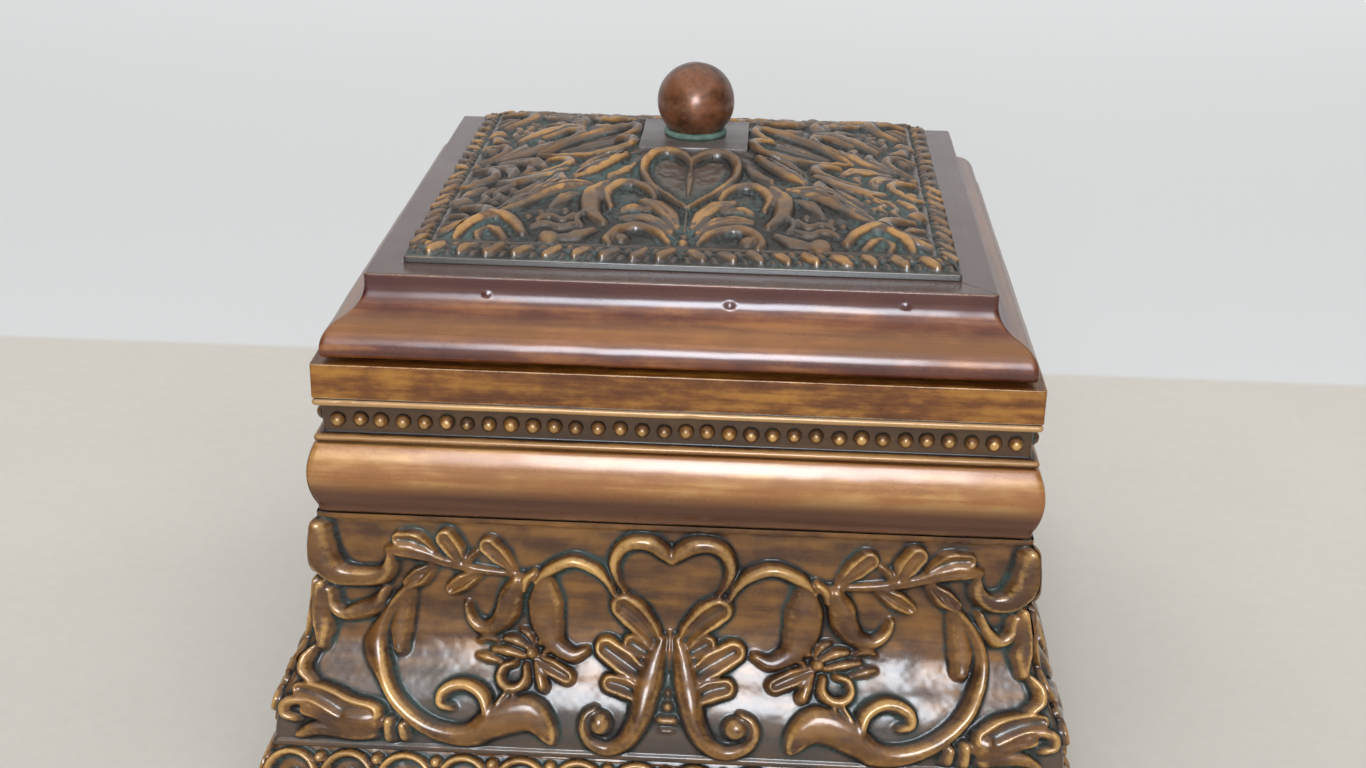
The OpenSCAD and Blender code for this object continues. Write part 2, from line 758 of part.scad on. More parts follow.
module knob_screw() {
    head_z = lid_board_z - washer_t;
    color(steel) {
        translate([0, 0, head_z]) cylinder(h = ball_foot_z + knob_screw_grip - head_z, d = knob_screw_d);
        translate([0, 0, head_z - screw_head_h]) cylinder(h = screw_head_h, d = screw_head_d);
    }
}

module knob_washer() {
    color(steel) translate([0, 0, lid_board_z - washer_t]) difference() {
        cylinder(h = washer_t, d = washer_d);
        translate([0, 0, -1]) cylinder(h = washer_t + 2, d = knob_screw_d + 0.4);
    }
}

for (s = [0 : 3]) {
    base_moulding(s);
    egg_and_dart(s);
    flared_panel(s);
    scrollwork(s);
    torus_moulding(s);
    rim_moulding(s);
    rim_beads(s);
    wall_board(s);
    lid_moulding(s);
    lid_lip(s);
    top_border(s);
}
bottom_board();
bottom_screws();
base_felt();
floor_lining();
wall_lining();
lid_board();
lid_lining();
carved_top();
top_scrollwork();
knob_plinth();
knob_collar();
knob_ball();
knob_insert();
knob_screw();
knob_washer();
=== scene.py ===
"""Looks of a square silverware chest with carved, flared sides and a lift-off lid.

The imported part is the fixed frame. Carved faces and mouldings are swept meshes with real relief, which stand for the
plain solids of the frame, and every finish is built from procedural nodes. Shapes are worked out in millimetres and
become metres when their mesh is made.
"""

import logging
import math
from dataclasses import dataclass, field, replace
from enum import Enum
from typing import Callable, Optional, Union

import bmesh
import bpy
import numpy as np
from mathutils import Matrix, Vector


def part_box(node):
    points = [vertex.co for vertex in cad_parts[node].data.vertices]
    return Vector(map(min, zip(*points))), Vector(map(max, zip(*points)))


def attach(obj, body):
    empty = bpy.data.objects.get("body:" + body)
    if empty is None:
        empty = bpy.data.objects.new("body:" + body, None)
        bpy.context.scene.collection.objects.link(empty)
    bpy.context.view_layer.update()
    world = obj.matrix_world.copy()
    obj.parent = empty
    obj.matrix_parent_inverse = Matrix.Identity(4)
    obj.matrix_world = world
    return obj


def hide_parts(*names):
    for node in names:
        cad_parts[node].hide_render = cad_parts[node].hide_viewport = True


LOG = logging.getLogger("chest")
SIDES = ("front", "right", "back", "left")
MM = 0.001
# Shift of the streaks from one side to the next, in metres
SIDE_SHIFT = 0.83
# Grid of random numbers behind every uneven face, and where it starts
LUMP_GRID = 64
LUMP_START = (31.37, 17.71)

Array = np.ndarray
Colour = tuple[float, float, float]
Triple = tuple[float, float, float]


class Sock:
    """A node's output socket that takes part in Python expressions."""

    def __init__(self, graph: "Graph", socket: bpy.types.NodeSocket) -> None:
        """Keeps the graph and the socket."""
        self.graph = graph
        self.socket = socket

    def _math(self, operation: str, *others: Union["Sock", float], first: bool = True) -> "Sock":
        """Adds one Math node, with this socket as its first or last operand."""
        operands = (self, *others) if first else (*others, self)
        return self.graph.node("ShaderNodeMath", {"operation": operation}, dict(enumerate(operands)))

    def __add__(self, other: Union["Sock", float]) -> "Sock":
        """Adds."""
        return self._math("ADD", other)

    __radd__ = __add__

    def __sub__(self, other: Union["Sock", float]) -> "Sock":
        """Subtracts."""
        return self._math("SUBTRACT", other)

    def __rsub__(self, other: float) -> "Sock":
        """Subtracts this from a number."""
        return self._math("SUBTRACT", other, first=False)

    def __mul__(self, other: Union["Sock", float]) -> "Sock":
        """Multiplies."""
        return self._math("MULTIPLY", other)

    __rmul__ = __mul__

    def clamp(self) -> "Sock":
        """Limits the value to 0 to 1."""
        return self.graph.node("ShaderNodeClamp", {}, {"Value": self})

    def axis(self, name: str) -> "Sock":
        """Takes one coordinate of a vector."""
        return self.graph.node("ShaderNodeSeparateXYZ", {}, {"Vector": self}, name)

    def ramp(self, low: float, high: float) -> "Sock":
        """A smooth rise from 0 at low to 1 at high."""
        inputs = {"Value": self, "From Min": low, "From Max": high}
        return self.graph.node("ShaderNodeMapRange", {"interpolation_type": "SMOOTHSTEP"}, inputs)


class Graph:
    """Adds nodes to a tree."""

    def __init__(self, tree: bpy.types.NodeTree) -> None:
        """Keeps the tree."""
        self.tree = tree

    def node(
        self, kind: str, settings: dict[str, object], inputs: dict[object, object], output: object = 0
    ) -> Sock:
        """Adds a node, sets it up and links it.

        Args:
            kind: Type of the node.
            settings: Its properties, which are set first.
            inputs: Values or links by the name or number of the socket.
            output: Name or number of the output that is wanted.

        Returns:
            That output.
        """
        made = self.tree.nodes.new(kind)
        for key, value in settings.items():
            setattr(made, key, value)
        for key, value in inputs.items():
            self.feed(made.inputs[key], value)
        return Sock(self, made.outputs[output])

    def feed(self, socket: bpy.types.NodeSocket, value: object) -> None:
        """Links or sets one input.

        Args:
            socket: The input.
            value: A Sock, a number, a vector or a colour.
        """
        if isinstance(value, Sock):
            self.tree.links.new(value.socket, socket)
        elif isinstance(value, tuple) and socket.type == "RGBA":
            socket.default_value = (*value[:3], 1.0)
        else:
            socket.default_value = value

    def attribute(self, name: str) -> Sock:
        """A number kept on the vertices of the mesh."""
        return self.node("ShaderNodeAttribute", {"attribute_name": name}, {}, "Fac")

    def coords(self, run: bool, stretch: Triple = (1, 1, 1)) -> Sock:
        """Coordinates along a run by its UV map, or else on the object, at so many repeats per metre."""
        source = self.node("ShaderNodeTexCoord", {}, {}, "UV" if run else "Object")
        return self.node("ShaderNodeMapping", {}, {"Vector": source, "Scale": stretch})

    def noise(self, run: bool, stretch: Triple, detail: float = 3.0, rough: float = 0.55) -> Sock:
        """Soft noise round 0.5, on the coordinates that run and stretch give."""
        inputs = {"Vector": self.coords(run, stretch), "Scale": 1.0, "Detail": detail, "Roughness": rough}
        return self.node("ShaderNodeTexNoise", {"noise_dimensions": "3D"}, inputs)

    def blend(self, share: Sock, low: Union[Sock, Colour], high: Union[Sock, Colour]) -> Sock:
        """Mixes a share of the second colour into the first."""
        return self.node("ShaderNodeMix", {"data_type": "RGBA"}, {0: share, 6: low, 7: high}, 2)


class Paint(Graph):
    """Builds one material round a Principled shader."""

    def __init__(self, name: str) -> None:
        """Starts an empty material.

        Args:
            name: Name of the material.
        """
        self.material = bpy.data.materials.new(name)
        self.material.use_nodes = True
        super().__init__(self.material.node_tree)
        self.tree.nodes.clear()
        self.shader = self.tree.nodes.new("ShaderNodeBsdfPrincipled")
        output = self.tree.nodes.new("ShaderNodeOutputMaterial")
        self.tree.links.new(self.shader.outputs[0], output.inputs[0])

    def bump(self, height: Sock, depth: float, strength: float) -> Sock:
        """A bumped normal, from a height of 0 to 1 and the real depth of the relief in metres."""
        return self.node("ShaderNodeBump", {}, {"Height": height, "Distance": depth, "Strength": strength})

    def finish(self, **inputs: object) -> bpy.types.Material:
        """Feeds the Principled shader.

        Args:
            inputs: Values or links by input, with underscores for spaces.

        Returns:
            The finished material.
        """
        for key, value in inputs.items():
            self.feed(self.shader.inputs[key.replace("_", " ")], value)
        return self.material


@dataclass(frozen=True)
class CarvedBronze:
    """Antique bronze paint on carving: rubbed crests, brown slopes and verdigris in the hollows, with painted shade in
    the hollows and a painted grey reflection on the flare.
    """

    name: str = "carved_bronze"
    crest: Colour = (0.185, 0.078, 0.017)
    worn: Colour = (0.50, 0.275, 0.085)
    body: Colour = (0.200, 0.084, 0.017)
    ground: Colour = (0.062, 0.024, 0.009)
    painted_shade: Colour = (0.008, 0.005, 0.004)
    painted_grey_reflection: Colour = (0.052, 0.046, 0.042)
    reflection_from: float = 0.042
    reflection_to: float = 0.070
    verdigris: Colour = (0.060, 0.095, 0.080)
    green: float = 0.45
    metal: float = 0.20
    patchy: float = 0.45

    def material(self) -> bpy.types.Material:
        """Builds the material from the relief, cavity and wear that the meshes carry."""
        p = Paint(self.name)
        relief, cavity, wear = (p.attribute(name) for name in ("relief", "cavity", "wear"))
        blotch = p.noise(True, (70, 70, 70), 4.0, 0.6)
        streak = p.noise(True, (26, 170, 80))
        grit = p.noise(True, (620, 620, 620), rough=0.65)
        patches = p.noise(True, (30, 30, 30))
        ground = p.blend((blotch * 0.6 + streak * 0.7).ramp(0.50, 0.84), self.ground, self.body)
        # Painted reflection: the ground turns grey between two depths down the face, which on the panels is the
        # upturned flare.
        down = p.coords(True).axis("Y") + (patches - 0.5) * 0.06
        ground = p.blend(down.ramp(self.reflection_from, self.reflection_to) * 0.75, ground, self.painted_grey_reflection)
        raised = (relief * 1.2 + (blotch - 0.5) * 0.9).ramp(0.10, 1.05)
        crest = p.blend((blotch * 0.7 + streak * 0.5).ramp(0.45, 0.75), self.ground, self.crest)
        colour = p.blend(raised, ground, crest)
        rubbed = (wear * 1.3 + (grit - 0.5) * 0.9 + (blotch - 0.5) * 0.8).ramp(0.35, 1.25)
        rubbed = rubbed * (1 - self.patchy + self.patchy * patches.ramp(0.44, 0.60))
        colour = p.blend(rubbed, colour, self.worn)
        # Painted shade: hollows beside the relief are darkened towards near-black.
        hollow_shade = (cavity * 1.25 + (grit - 0.5) * 0.45 + (blotch - 0.5) * 0.35).ramp(0.14, 0.80)
        colour = p.blend(hollow_shade, colour, self.painted_shade)
        bloom = (cavity.ramp(0.10, 0.55) * (patches * 0.8 + grit * 0.5).ramp(0.58, 0.80) * self.green).clamp()
        colour = p.blend(bloom, colour, self.verdigris)
        dull = (hollow_shade * 0.6 + bloom * 0.8).clamp()
        return p.finish(
            Base_Color=colour,
            Metallic=self.metal - dull * (0.9 * self.metal),
            Roughness=0.30 + dull * 0.34 + (grit - 0.5) * 0.20 + (streak - 0.5) * 0.12,
            Normal=p.bump(grit * 0.5 + streak * 0.5, 0.00016, 0.6),
            Specular_IOR_Level=0.15,
            Coat_Weight=0.75 - dull * 0.6,
            Coat_Roughness=0.17,
        )


@dataclass(frozen=True)
class Band:
    """A strip of colour that paints light and shade along a moulding, between two depths of its section in metres."""

    start: float
    end: float
    colour: Colour
    share: float
    soft: float = 0.001


@dataclass(frozen=True)
class StreakedLacquer:
    """Copper and mahogany lacquer, wiped along the length of a moulding, with painted shade in its inner corners and
    bands of painted light and shade across its section.
    """

    name: str
    dark: Colour = (0.058, 0.011, 0.007)
    mid: Colour = (0.235, 0.062, 0.016)
    gold: Colour = (0.42, 0.185, 0.048)
    arris: Colour = (0.46, 0.29, 0.15)
    painted_shade: Colour = (0.016, 0.010, 0.009)
    gilding: float = 0.5
    metal: float = 0.15
    coat: float = 0.9
    cloud: float = 1.0
    painted_light_bands: tuple[Band, ...] = ()

    def material(self) -> bpy.types.Material:
        """Builds the material, with long streaks on the UV map of the run."""
        p = Paint(self.name)
        wear, cavity = p.attribute("wear"), p.attribute("cavity")
        broad = p.noise(True, (5 * self.cloud, 60 * self.cloud, 30))
        fine = p.noise(True, (11, 330, 80), 4.0, 0.6)
        blotch = p.noise(True, (40 * self.cloud, 95 * self.cloud, 60), 4.0, 0.65)
        grit = p.noise(True, (800, 800, 800), 2.0)
        tone = broad * 0.50 + fine * 0.20 + blotch * 0.35
        colour = p.blend(tone.ramp(0.40, 0.70), self.dark, self.mid)
        gilt = ((fine * 0.35 + broad * 0.40 + blotch * 0.40).ramp(0.54, 0.74) * self.gilding).clamp()
        colour = p.blend(gilt, colour, self.gold)
        down = p.coords(True).axis("Y") + (blotch - 0.5) * 0.003
        # Painted light and shade: bands across the section are lightened or darkened.
        for band in self.painted_light_bands:
            start = down.ramp(band.start - band.soft, band.start + band.soft)
            end = down.ramp(band.end + band.soft, band.end - band.soft)
            colour = p.blend(start * end * (band.share * 0.75 + fine * (band.share * 0.5)), colour, band.colour)
        colour = p.blend((wear + (grit - 0.5) * 0.7 + (blotch - 0.5) * 0.8).ramp(0.35, 1.2), colour, self.arris)
        # Painted shade: inner corners of the section are darkened.
        colour = p.blend((cavity + (grit - 0.5) * 0.3).ramp(0.2, 0.9), colour, self.painted_shade)
        return p.finish(
            Base_Color=colour,
            Metallic=self.metal + gilt * 0.15,
            Roughness=0.30 + (fine - 0.5) * 0.24 + (grit - 0.5) * 0.10,
            Normal=p.bump(fine * 0.6 + grit * 0.4, 0.00012, 0.6),
            Specular_IOR_Level=0.2,
            Coat_Weight=self.coat,
            Coat_Roughness=0.21,
        )


@dataclass(frozen=True)
class TurnedLacquer:
    """Glossy lacquer on the knob, its collar and its plinth, patterned on the object itself."""

    name: str
    dark: Colour
    light: Colour
    metal: float
    rough: float
    coat: float

    def material(self) -> bpy.types.Material:
        """Builds the material."""
        p = Paint(self.name)
        blotch = p.noise(False, (70, 70, 70), 4.0, 0.6)
        fine = p.noise(False, (500, 500, 500))
        return p.finish(
            Base_Color=p.blend((blotch * 0.8 + fine * 0.3).ramp(0.38, 0.72), self.dark, self.light),
            Metallic=self.metal,
            Roughness=self.rough + (fine - 0.5) * 0.18,
            Normal=p.bump(fine, 0.00012, 0.5),
            Specular_IOR_Level=0.3,
            Coat_Weight=self.coat,
            Coat_Roughness=0.24,
        )


@dataclass(frozen=True)
class Board:
    """Oiled hardwood of the carcass."""

    name: str = "carcass_board"
    dark: Colour = (0.095, 0.045, 0.022)
    light: Colour = (0.23, 0.125, 0.065)

    def material(self) -> bpy.types.Material:
        """Builds the grain along X and Y."""
        p = Paint(self.name)
        rings = p.noise(False, (26, 26, 420), 5.0, 0.62)
        pores = p.noise(False, (240, 240, 1400), 2.0)
        return p.finish(
            Base_Color=p.blend((rings * 0.75 + pores * 0.35).ramp(0.40, 0.72), self.dark, self.light),
            Roughness=0.55 + (pores - 0.5) * 0.3,
            Normal=p.bump(pores, 0.0001, 0.5),
        )


@dataclass(frozen=True)
class Felt:
    """Wool felt of the linings."""

    name: str = "felt"
    dark: Colour = (0.060, 0.008, 0.014)
    light: Colour = (0.155, 0.026, 0.038)

    def material(self) -> bpy.types.Material:
        """Builds matted fibres with a soft sheen."""
        p = Paint(self.name)
        fibres = p.noise(False, (1500, 1500, 1500), 4.0, 0.7)
        nap = p.noise(False, (60, 60, 60))
        return p.finish(
            Base_Color=p.blend((fibres * 0.7 + nap * 0.4).ramp(0.36, 0.76), self.dark, self.light),
            Roughness=0.95,
            Sheen_Weight=0.35,
            Sheen_Roughness=0.5,
            Normal=p.bump(fibres, 0.0004, 0.8),
        )


@dataclass(frozen=True)
class PlainMetal:
    """Brass or steel of the hidden fittings."""

    name: str
    colour: Colour

    def material(self) -> bpy.types.Material:
        """Builds turned metal with fine tool marks."""
        p = Paint(self.name)
        marks = p.noise(False, (400, 400, 3000), 2.0)
        dull = tuple(0.72 * c for c in self.colour)
        return p.finish(
            Base_Color=p.blend(marks.ramp(0.35, 0.7), dull, self.colour),
            Metallic=1.0,
            Roughness=0.32 + (marks - 0.5) * 0.2,
            Normal=p.bump(marks, 0.00005, 0.4),
        )


def ease(t: Array) -> Array:
    """Eases a rise from 0 to 1 at both ends."""
    return t * t * (3 - 2 * t)


def smooth(low: float, high: float, value: Array) -> Array:
    """A smooth rise from 0 where a value is low to 1 where it is high."""
    return ease(np.clip((value - low) / (high - low), 0, 1))


def dome(q: Array) -> Array:
    """Height of a round section at a distance from its line, both as a share of its half width."""
    return np.sqrt(np.clip(1 - q**2, 0, 1))


def bell(reach: int, spread: float) -> Array:
    """Weights of a blur over so many steps to each side."""
    kernel = np.exp(-0.5 * (np.arange(-reach, reach + 1) / spread) ** 2)
    return kernel / kernel.sum()


def lumps(u: Array, v: Array, cell: float, seed: int) -> Array:
    """Smooth random blobs, the same on each run.

    Args:
        u: First coordinate.
        v: Second coordinate.
        cell: Size of a blob.
        seed: Seed of the random grid.

    Returns:
        Values from -1 to 1.
    """
    grid = np.random.default_rng(seed).uniform(-1, 1, (LUMP_GRID, LUMP_GRID))
    x, y = u / cell + LUMP_START[0], v / cell + LUMP_START[1]
    i, j = np.floor(x).astype(int), np.floor(y).astype(int)
    fx, fy = ease(x - i), ease(y - j)
    i0, i1, j0, j1 = (k % LUMP_GRID for k in (i, i + 1, j, j + 1))
    low = grid[j0, i0] * (1 - fx) + grid[j0, i1] * fx
    high = grid[j1, i0] * (1 - fx) + grid[j1, i1] * fx
    return low * (1 - fy) + high * fy


def blur(grid: Array, rows: float, columns: float) -> Array:
    """Blurs a grid of values.

    Args:
        grid: The values.
        rows: Spread in rows.
        columns: Spread in columns.

    Returns:
        The blurred grid.
    """
    for axis, spread in ((0, rows), (1, columns)):
        reach = max(1, int(math.ceil(2.5 * spread)))
        pads = [(0, 0), (0, 0)]
        pads[axis] = (reach, reach)
        padded = np.pad(grid, pads, mode="edge")
        total = np.zeros_like(grid)
        for k, share in enumerate(bell(reach, spread)):
            cut = [slice(None), slice(None)]
            cut[axis] = slice(k, k + grid.shape[axis])
            total += share * padded[tuple(cut)]
        grid = total
    return grid


def distances(points: Array) -> Array:
    """How far along a line each of its points lies."""
    return np.concatenate([[0], np.cumsum(np.linalg.norm(np.diff(points, axis=0), axis=1))])


def arc(centre: tuple[float, float], radius: float, start: float, end: float, steps: int = 10) -> list[list[float]]:
    """Points round a centre, each as distance and height, from one angle in degrees to another."""
    turns = np.radians(np.linspace(start, end, steps + 1))
    return [[centre[0] + radius * math.cos(a), centre[1] + radius * math.sin(a)] for a in turns]


def ogee(out: float, high: float, depth: Array) -> Array:
    """A hollow arc over a round arc of the same radius, upright at both ends.

    Args:
        out: How far it projects in all.
        high: Its height.
        depth: Depths below its start.

    Returns:
        The projection at each depth.
    """
    r = (out * out + high * high) / (4 * out)
    upper = r - np.sqrt(np.maximum(r * r - depth * depth, 0))
    lower = out - r + np.sqrt(np.maximum(r * r - (high - depth) ** 2, 0))
    return np.where(depth <= high / 2, upper, lower)


class Form(Enum):
    """Cross-section of a carved stroke."""

    ROUND = "round"
    FULL = "full"
    HOLLOW = "hollow"
    CREST = "crest"

    def lift(self, q: Array) -> Array:
        """Height across the stroke.

        Args:
            q: Distance from its line, as a share of its half width.

        Returns:
            Height from 0 to 1.
        """
        if self is Form.ROUND:
            return dome(q)
        if self is Form.FULL:
            return np.clip(1 - q**3.2, 0, 1) ** 0.62
        if self is Form.HOLLOW:
            top = 0.72
            return np.where(q < top, 0.58 + 0.42 * smooth(0.25, top, q), dome((q - top) / (1 - top)))
        return np.clip(1 - q, 0, 1) ** 0.85


@dataclass(frozen=True)
class Stroke:
    """A carved stem, leaf or bud along a line.

    The line runs through its points and the widths are spread evenly along them. A vein is a groove along the line.
    """

    points: tuple[tuple[float, float], ...]
    widths: tuple[float, ...]
    height: float = 3.0
    form: Form = Form.ROUND
    vein: float = 0.0

    def line(self) -> tuple[Array, Array]:
        """Samples the line.

        Returns:
            The samples, and how far along each lies from 0 to 1.
        """
        longest_step = 0.8
        p = np.array(self.points, float)
        if len(p) == 1:
            p = np.vstack([p, p + [[0.01, 0.0]]])
        ends = np.vstack([2 * p[0] - p[1], p, 2 * p[-1] - p[-2]])
        samples, stations = [], []
        for i in range(len(p) - 1):
            a, b, c, d = ends[i : i + 4]
            count = max(2, int(math.ceil(np.linalg.norm(c - b) / longest_step)))
            for t in np.arange(count) / count:
                samples.append(
                    0.5 * (2 * b + (c - a) * t + (2 * a - 5 * b + 4 * c - d) * t**2 + (3 * b - a - 3 * c + d) * t**3)
                )
                stations.append(i + t)
        samples.append(p[-1])
        stations.append(len(p) - 1)
        return np.array(samples), np.array(stations) / (len(p) - 1)

    def lift(self, u: Array, v: Array) -> Array:
        """Height of the stroke over its bed.

        Args:
            u: First coordinate of the surface points.
            v: Second coordinate.

        Returns:
            The heights.
        """
        thinning, vein_w, far = 0.45, 0.45, 9.0
        line, station = self.line()
        half = np.interp(station, np.linspace(0, 1, len(self.widths)), self.widths) / 2
        reach = max(self.widths)
        out = np.zeros(u.shape)
        (low_u, low_v), (high_u, high_v) = line.min(axis=0) - reach, line.max(axis=0) + reach
        near = (u > low_u) & (u < high_u) & (v > low_v) & (v < high_v)
        if not near.any():
            return out
        x, y = u[near], v[near]
        best = np.full(x.shape, far)
        along, offset, width = np.zeros(x.shape), np.zeros(x.shape), np.ones(x.shape)
        run = 0.0
        for k in range(len(line) - 1):
            (ax, ay), (dx, dy) = line[k], line[k + 1] - line[k]
            size = dx * dx + dy * dy
            length = math.sqrt(size)
            t = np.clip(((x - ax) * dx + (y - ay) * dy) / size, 0, 1)
            px, py = x - ax - t * dx, y - ay - t * dy
            local = half[k] + (half[k + 1] - half[k]) * t
            q = np.sqrt(px * px + py * py) / local
            closer = q < best
            best = np.where(closer, q, best)
            along = np.where(closer, run + t * length, along)
            offset = np.where(closer, (dx * py - dy * px) / length, offset)
            width = np.where(closer, local, width)
            run += length
        lift = self.form.lift(np.clip(best, 0, 1)) * (best < 1)
        lift = lift * self.height * (width / (reach / 2)) ** thinning
        if self.vein:
            lift = lift - self.vein * np.exp(-((offset / vein_w) ** 2)) * smooth(0.0, 1.5, along) * (best < 0.9)
        out[near] = np.maximum(lift, 0)
        return out


def carve(strokes: tuple[Stroke, ...], u: Array, v: Array, broad: float = 1.0) -> Array:
    """Height of a whole carving.

    Args:
        strokes: Its strokes.
        u: First coordinate of the surface points.
        v: Second coordinate.
        broad: Factor on the width of every stroke.

    Returns:
        The heights.
    """
    out = np.zeros(u.shape)
    for stroke in strokes:
        wide = replace(stroke, widths=tuple(broad * w for w in stroke.widths))
        out = np.maximum(out, wide.lift(u, v))
    return out


def bud(u: float, v: float, size: float, height: float) -> Stroke:
    """A small round boss at a place, of a diameter and height."""
    return Stroke(((u, v),), (size,), height)


@dataclass(frozen=True)
class Face:
    """Points on the face of a run: along it from its middle, down its section, and out from the chest's middle."""

    along: Array
    down: Array
    radius: Array

    def lumps(self, cell: float, seed: int) -> Array:
        """Smooth random blobs on the face."""
        return lumps(self.along, self.down, cell, seed)


@dataclass
class Run:
    """A mitred length of moulding or panel on the front, that is then turned to each side.

    Its section is a chain of (distance from the centre, height), from the top and inside to the foot and outside.
    The back closes the section.
    """

    name: str
    chain: Array
    back: tuple[tuple[float, float], ...]
    columns: int
    step: float
    softness: float
    corner: float
    wobble: float
    seed: int
    relief: Optional[Callable[[Face], Array]] = None
    depth: float = 3.0
    mesh: bpy.types.Mesh = field(init=False)

    def section(self) -> tuple[Array, Array, Array]:
        """Resamples the chain evenly and softens its arrises.

        Returns:
            Its points, their outward normals and their turning, positive on an arris.
        """
        chain = np.array(self.chain, float)
        lengths = distances(chain)
        count = max(6, int(round(lengths[-1] / self.step)))
        even = np.linspace(0, lengths[-1], count + 1)
        points = np.stack([np.interp(even, lengths, chain[:, k]) for k in (0, 1)], axis=1)
        spread = self.softness / (even[1] - even[0])
        if spread > 0.3:
            reach = int(math.ceil(3 * spread))
            head = 2 * points[0] - points[1 : reach + 1][::-1]
            tail = 2 * points[-1] - points[-reach - 1 : -1][::-1]
            padded = np.vstack([head, points, tail])
            kernel = bell(reach, spread)
            points = np.stack([np.convolve(padded[:, k], kernel, mode="valid") for k in (0, 1)], axis=1)
        tangent = np.gradient(points, axis=0)
        tangent /= np.linalg.norm(tangent, axis=1)[:, None]
        normal = np.stack([-tangent[:, 1], tangent[:, 0]], axis=1)
        turn = np.unwrap(np.arctan2(tangent[:, 1], tangent[:, 0]))
        return points, normal, -np.gradient(turn) / (even[1] - even[0])

    def fractions(self) -> Array:
        """Places of the columns as a share of the half width, closer together at the corners."""
        half = max(r for r, _ in self.chain)
        close = 3.0 * self.corner / half
        inner = np.linspace(-(1 - close), 1 - close, self.columns - 10)
        rim = np.linspace(1 - close, 1, 6)[1:]
        return np.concatenate([-rim[::-1], inner, rim])

    def build(self) -> "Run":
        """Makes the mesh of the front run.

        Returns:
            The run itself.
        """
        points, normal, bend = self.section()
        shares = self.fractions()
        depths = distances(points)
        rows, columns = len(points), len(shares)
        radius = points[:, :1]
        along = shares[None, :] * (radius - self.corner + self.corner * math.pi / 4)
        down = np.repeat(depths[:, None], columns, axis=1)
        face = Face(along, down, np.repeat(radius, columns, axis=1))
        heights = np.zeros(along.shape) if self.relief is None else self.relief(face)
        uneven = (face.lumps(27, self.seed) * 0.7 + face.lumps(9, self.seed + 1) * 0.3 - 1) / 2
        fade = smooth(0, 1.5, down) * smooth(0, 1.5, depths[-1] - down)
        lift = heights + self.wobble * uneven * fade
        far = np.array([*self.back, tuple(points[0])], float)
        r = np.vstack([radius + lift * normal[:, :1], np.repeat(far[:, :1], columns, axis=1)])
        z = np.vstack([points[:, 1:] + lift * normal[:, 1:], np.repeat(far[:, 1:], columns, axis=1)])
        x, y = self.wrap(r, shares, rows)
        down = np.vstack([down, down[-1:] + 3 * np.arange(1, len(far) + 1)[:, None]])
        along = np.vstack([along, x[rows:]])
        values = self.weather(heights, bend, along, len(far))
        self.mesh = self.weave(np.stack([x, -y, z], axis=-1), np.stack([along, down], axis=-1), values)
        return self

    def wrap(self, r: Array, shares: Array, rows: int) -> tuple[Array, Array]:
        """Lays the columns along the face and round the corner.

        Args:
            r: Distance of each vertex row and column from the centre.
            shares: Places of the columns.
            rows: Number of rows that show, which have a rounded corner.

        Returns:
            Distance along the face and distance out from the centre.
        """
        turn = np.full((len(r), 1), 1e-4)
        turn[:rows] = self.corner
        flat = r - turn
        travel = np.abs(shares)[None, :] * (flat + turn * math.pi / 4)
        angle = np.clip((travel - flat) / turn, 0, math.pi / 4)
        bent = travel > flat
        x = np.where(bent, flat + turn * np.sin(angle), travel)
        y = np.where(bent, flat + turn * np.cos(angle), r)
        return x * np.sign(shares)[None, :], y

    def weather(self, heights: Array, bend: Array, along: Array, extra: int) -> dict[str, Array]:
        """Works out relief, cavity and wear.

        Args:
            heights: Height of the carving.
            bend: Turning of the section.
            along: Distance along the run.
            extra: Number of hidden rows.

        Returns:
            The three values of each vertex.
        """
        ends = 8
        column_mm = (along[0, -ends] - along[0, ends]) / (along.shape[1] - 2 * ends)
        wide, close = (blur(heights, mm / self.step, mm / column_mm) for mm in (1.5, 0.9))
        relief = np.clip(heights / self.depth, 0, 1)
        # Cavity marks hollows and inner corners, which the finishes darken as painted shade and, in the carving, fill
        # with verdigris.
        cavity = np.clip((wide - heights) / (0.30 * self.depth), 0, 1)
        wear = np.clip((heights - close) / (0.10 * self.depth), 0, 1) * relief
        bend = np.clip(bend, -2, 2)[:, None]
        wear = np.clip(wear + np.clip(bend, 0, 2) * 0.55, 0, 1)
        cavity = np.clip(cavity + np.clip(-bend, 0, 2) * 0.7, 0, 1)
        blank = np.zeros((extra, heights.shape[1]))
        values = {"relief": relief, "cavity": cavity, "wear": wear}
        return {name: np.vstack([value, blank]) for name, value in values.items()}

    def weave(self, places: Array, spots: Array, values: dict[str, Array]) -> bpy.types.Mesh:
        """Bends a grid to the run, closes its section and caps its ends.

        Args:
            places: Place of each vertex, by row and column.
            spots: Its distance along the run and down the section, for the UV map.
            values: Numbers that the finish reads.

        Returns:
            The closed mesh.
        """
        rows, columns, _ = places.shape
        sheet = bmesh.new()
        bmesh.ops.create_grid(sheet, x_segments=columns - 1, y_segments=rows - 1, size=1.0)
        mesh = bpy.data.meshes.new(self.name)
        sheet.to_mesh(mesh)
        sheet.free()
        flat = places_of(mesh)
        i = np.rint((flat[:, 0] + 1) / 2 * (columns - 1)).astype(int)
        j = np.rint((flat[:, 1] + 1) / 2 * (rows - 1)).astype(int)
        mesh.vertices.foreach_set("co", (places[j, i] * MM).astype(np.float32).ravel())
        mark(mesh, {name: grid[j, i] for name, grid in values.items()}, spots[j, i] * MM)
        self.close(mesh, (j == 0) | (j == rows - 1))
        return mesh

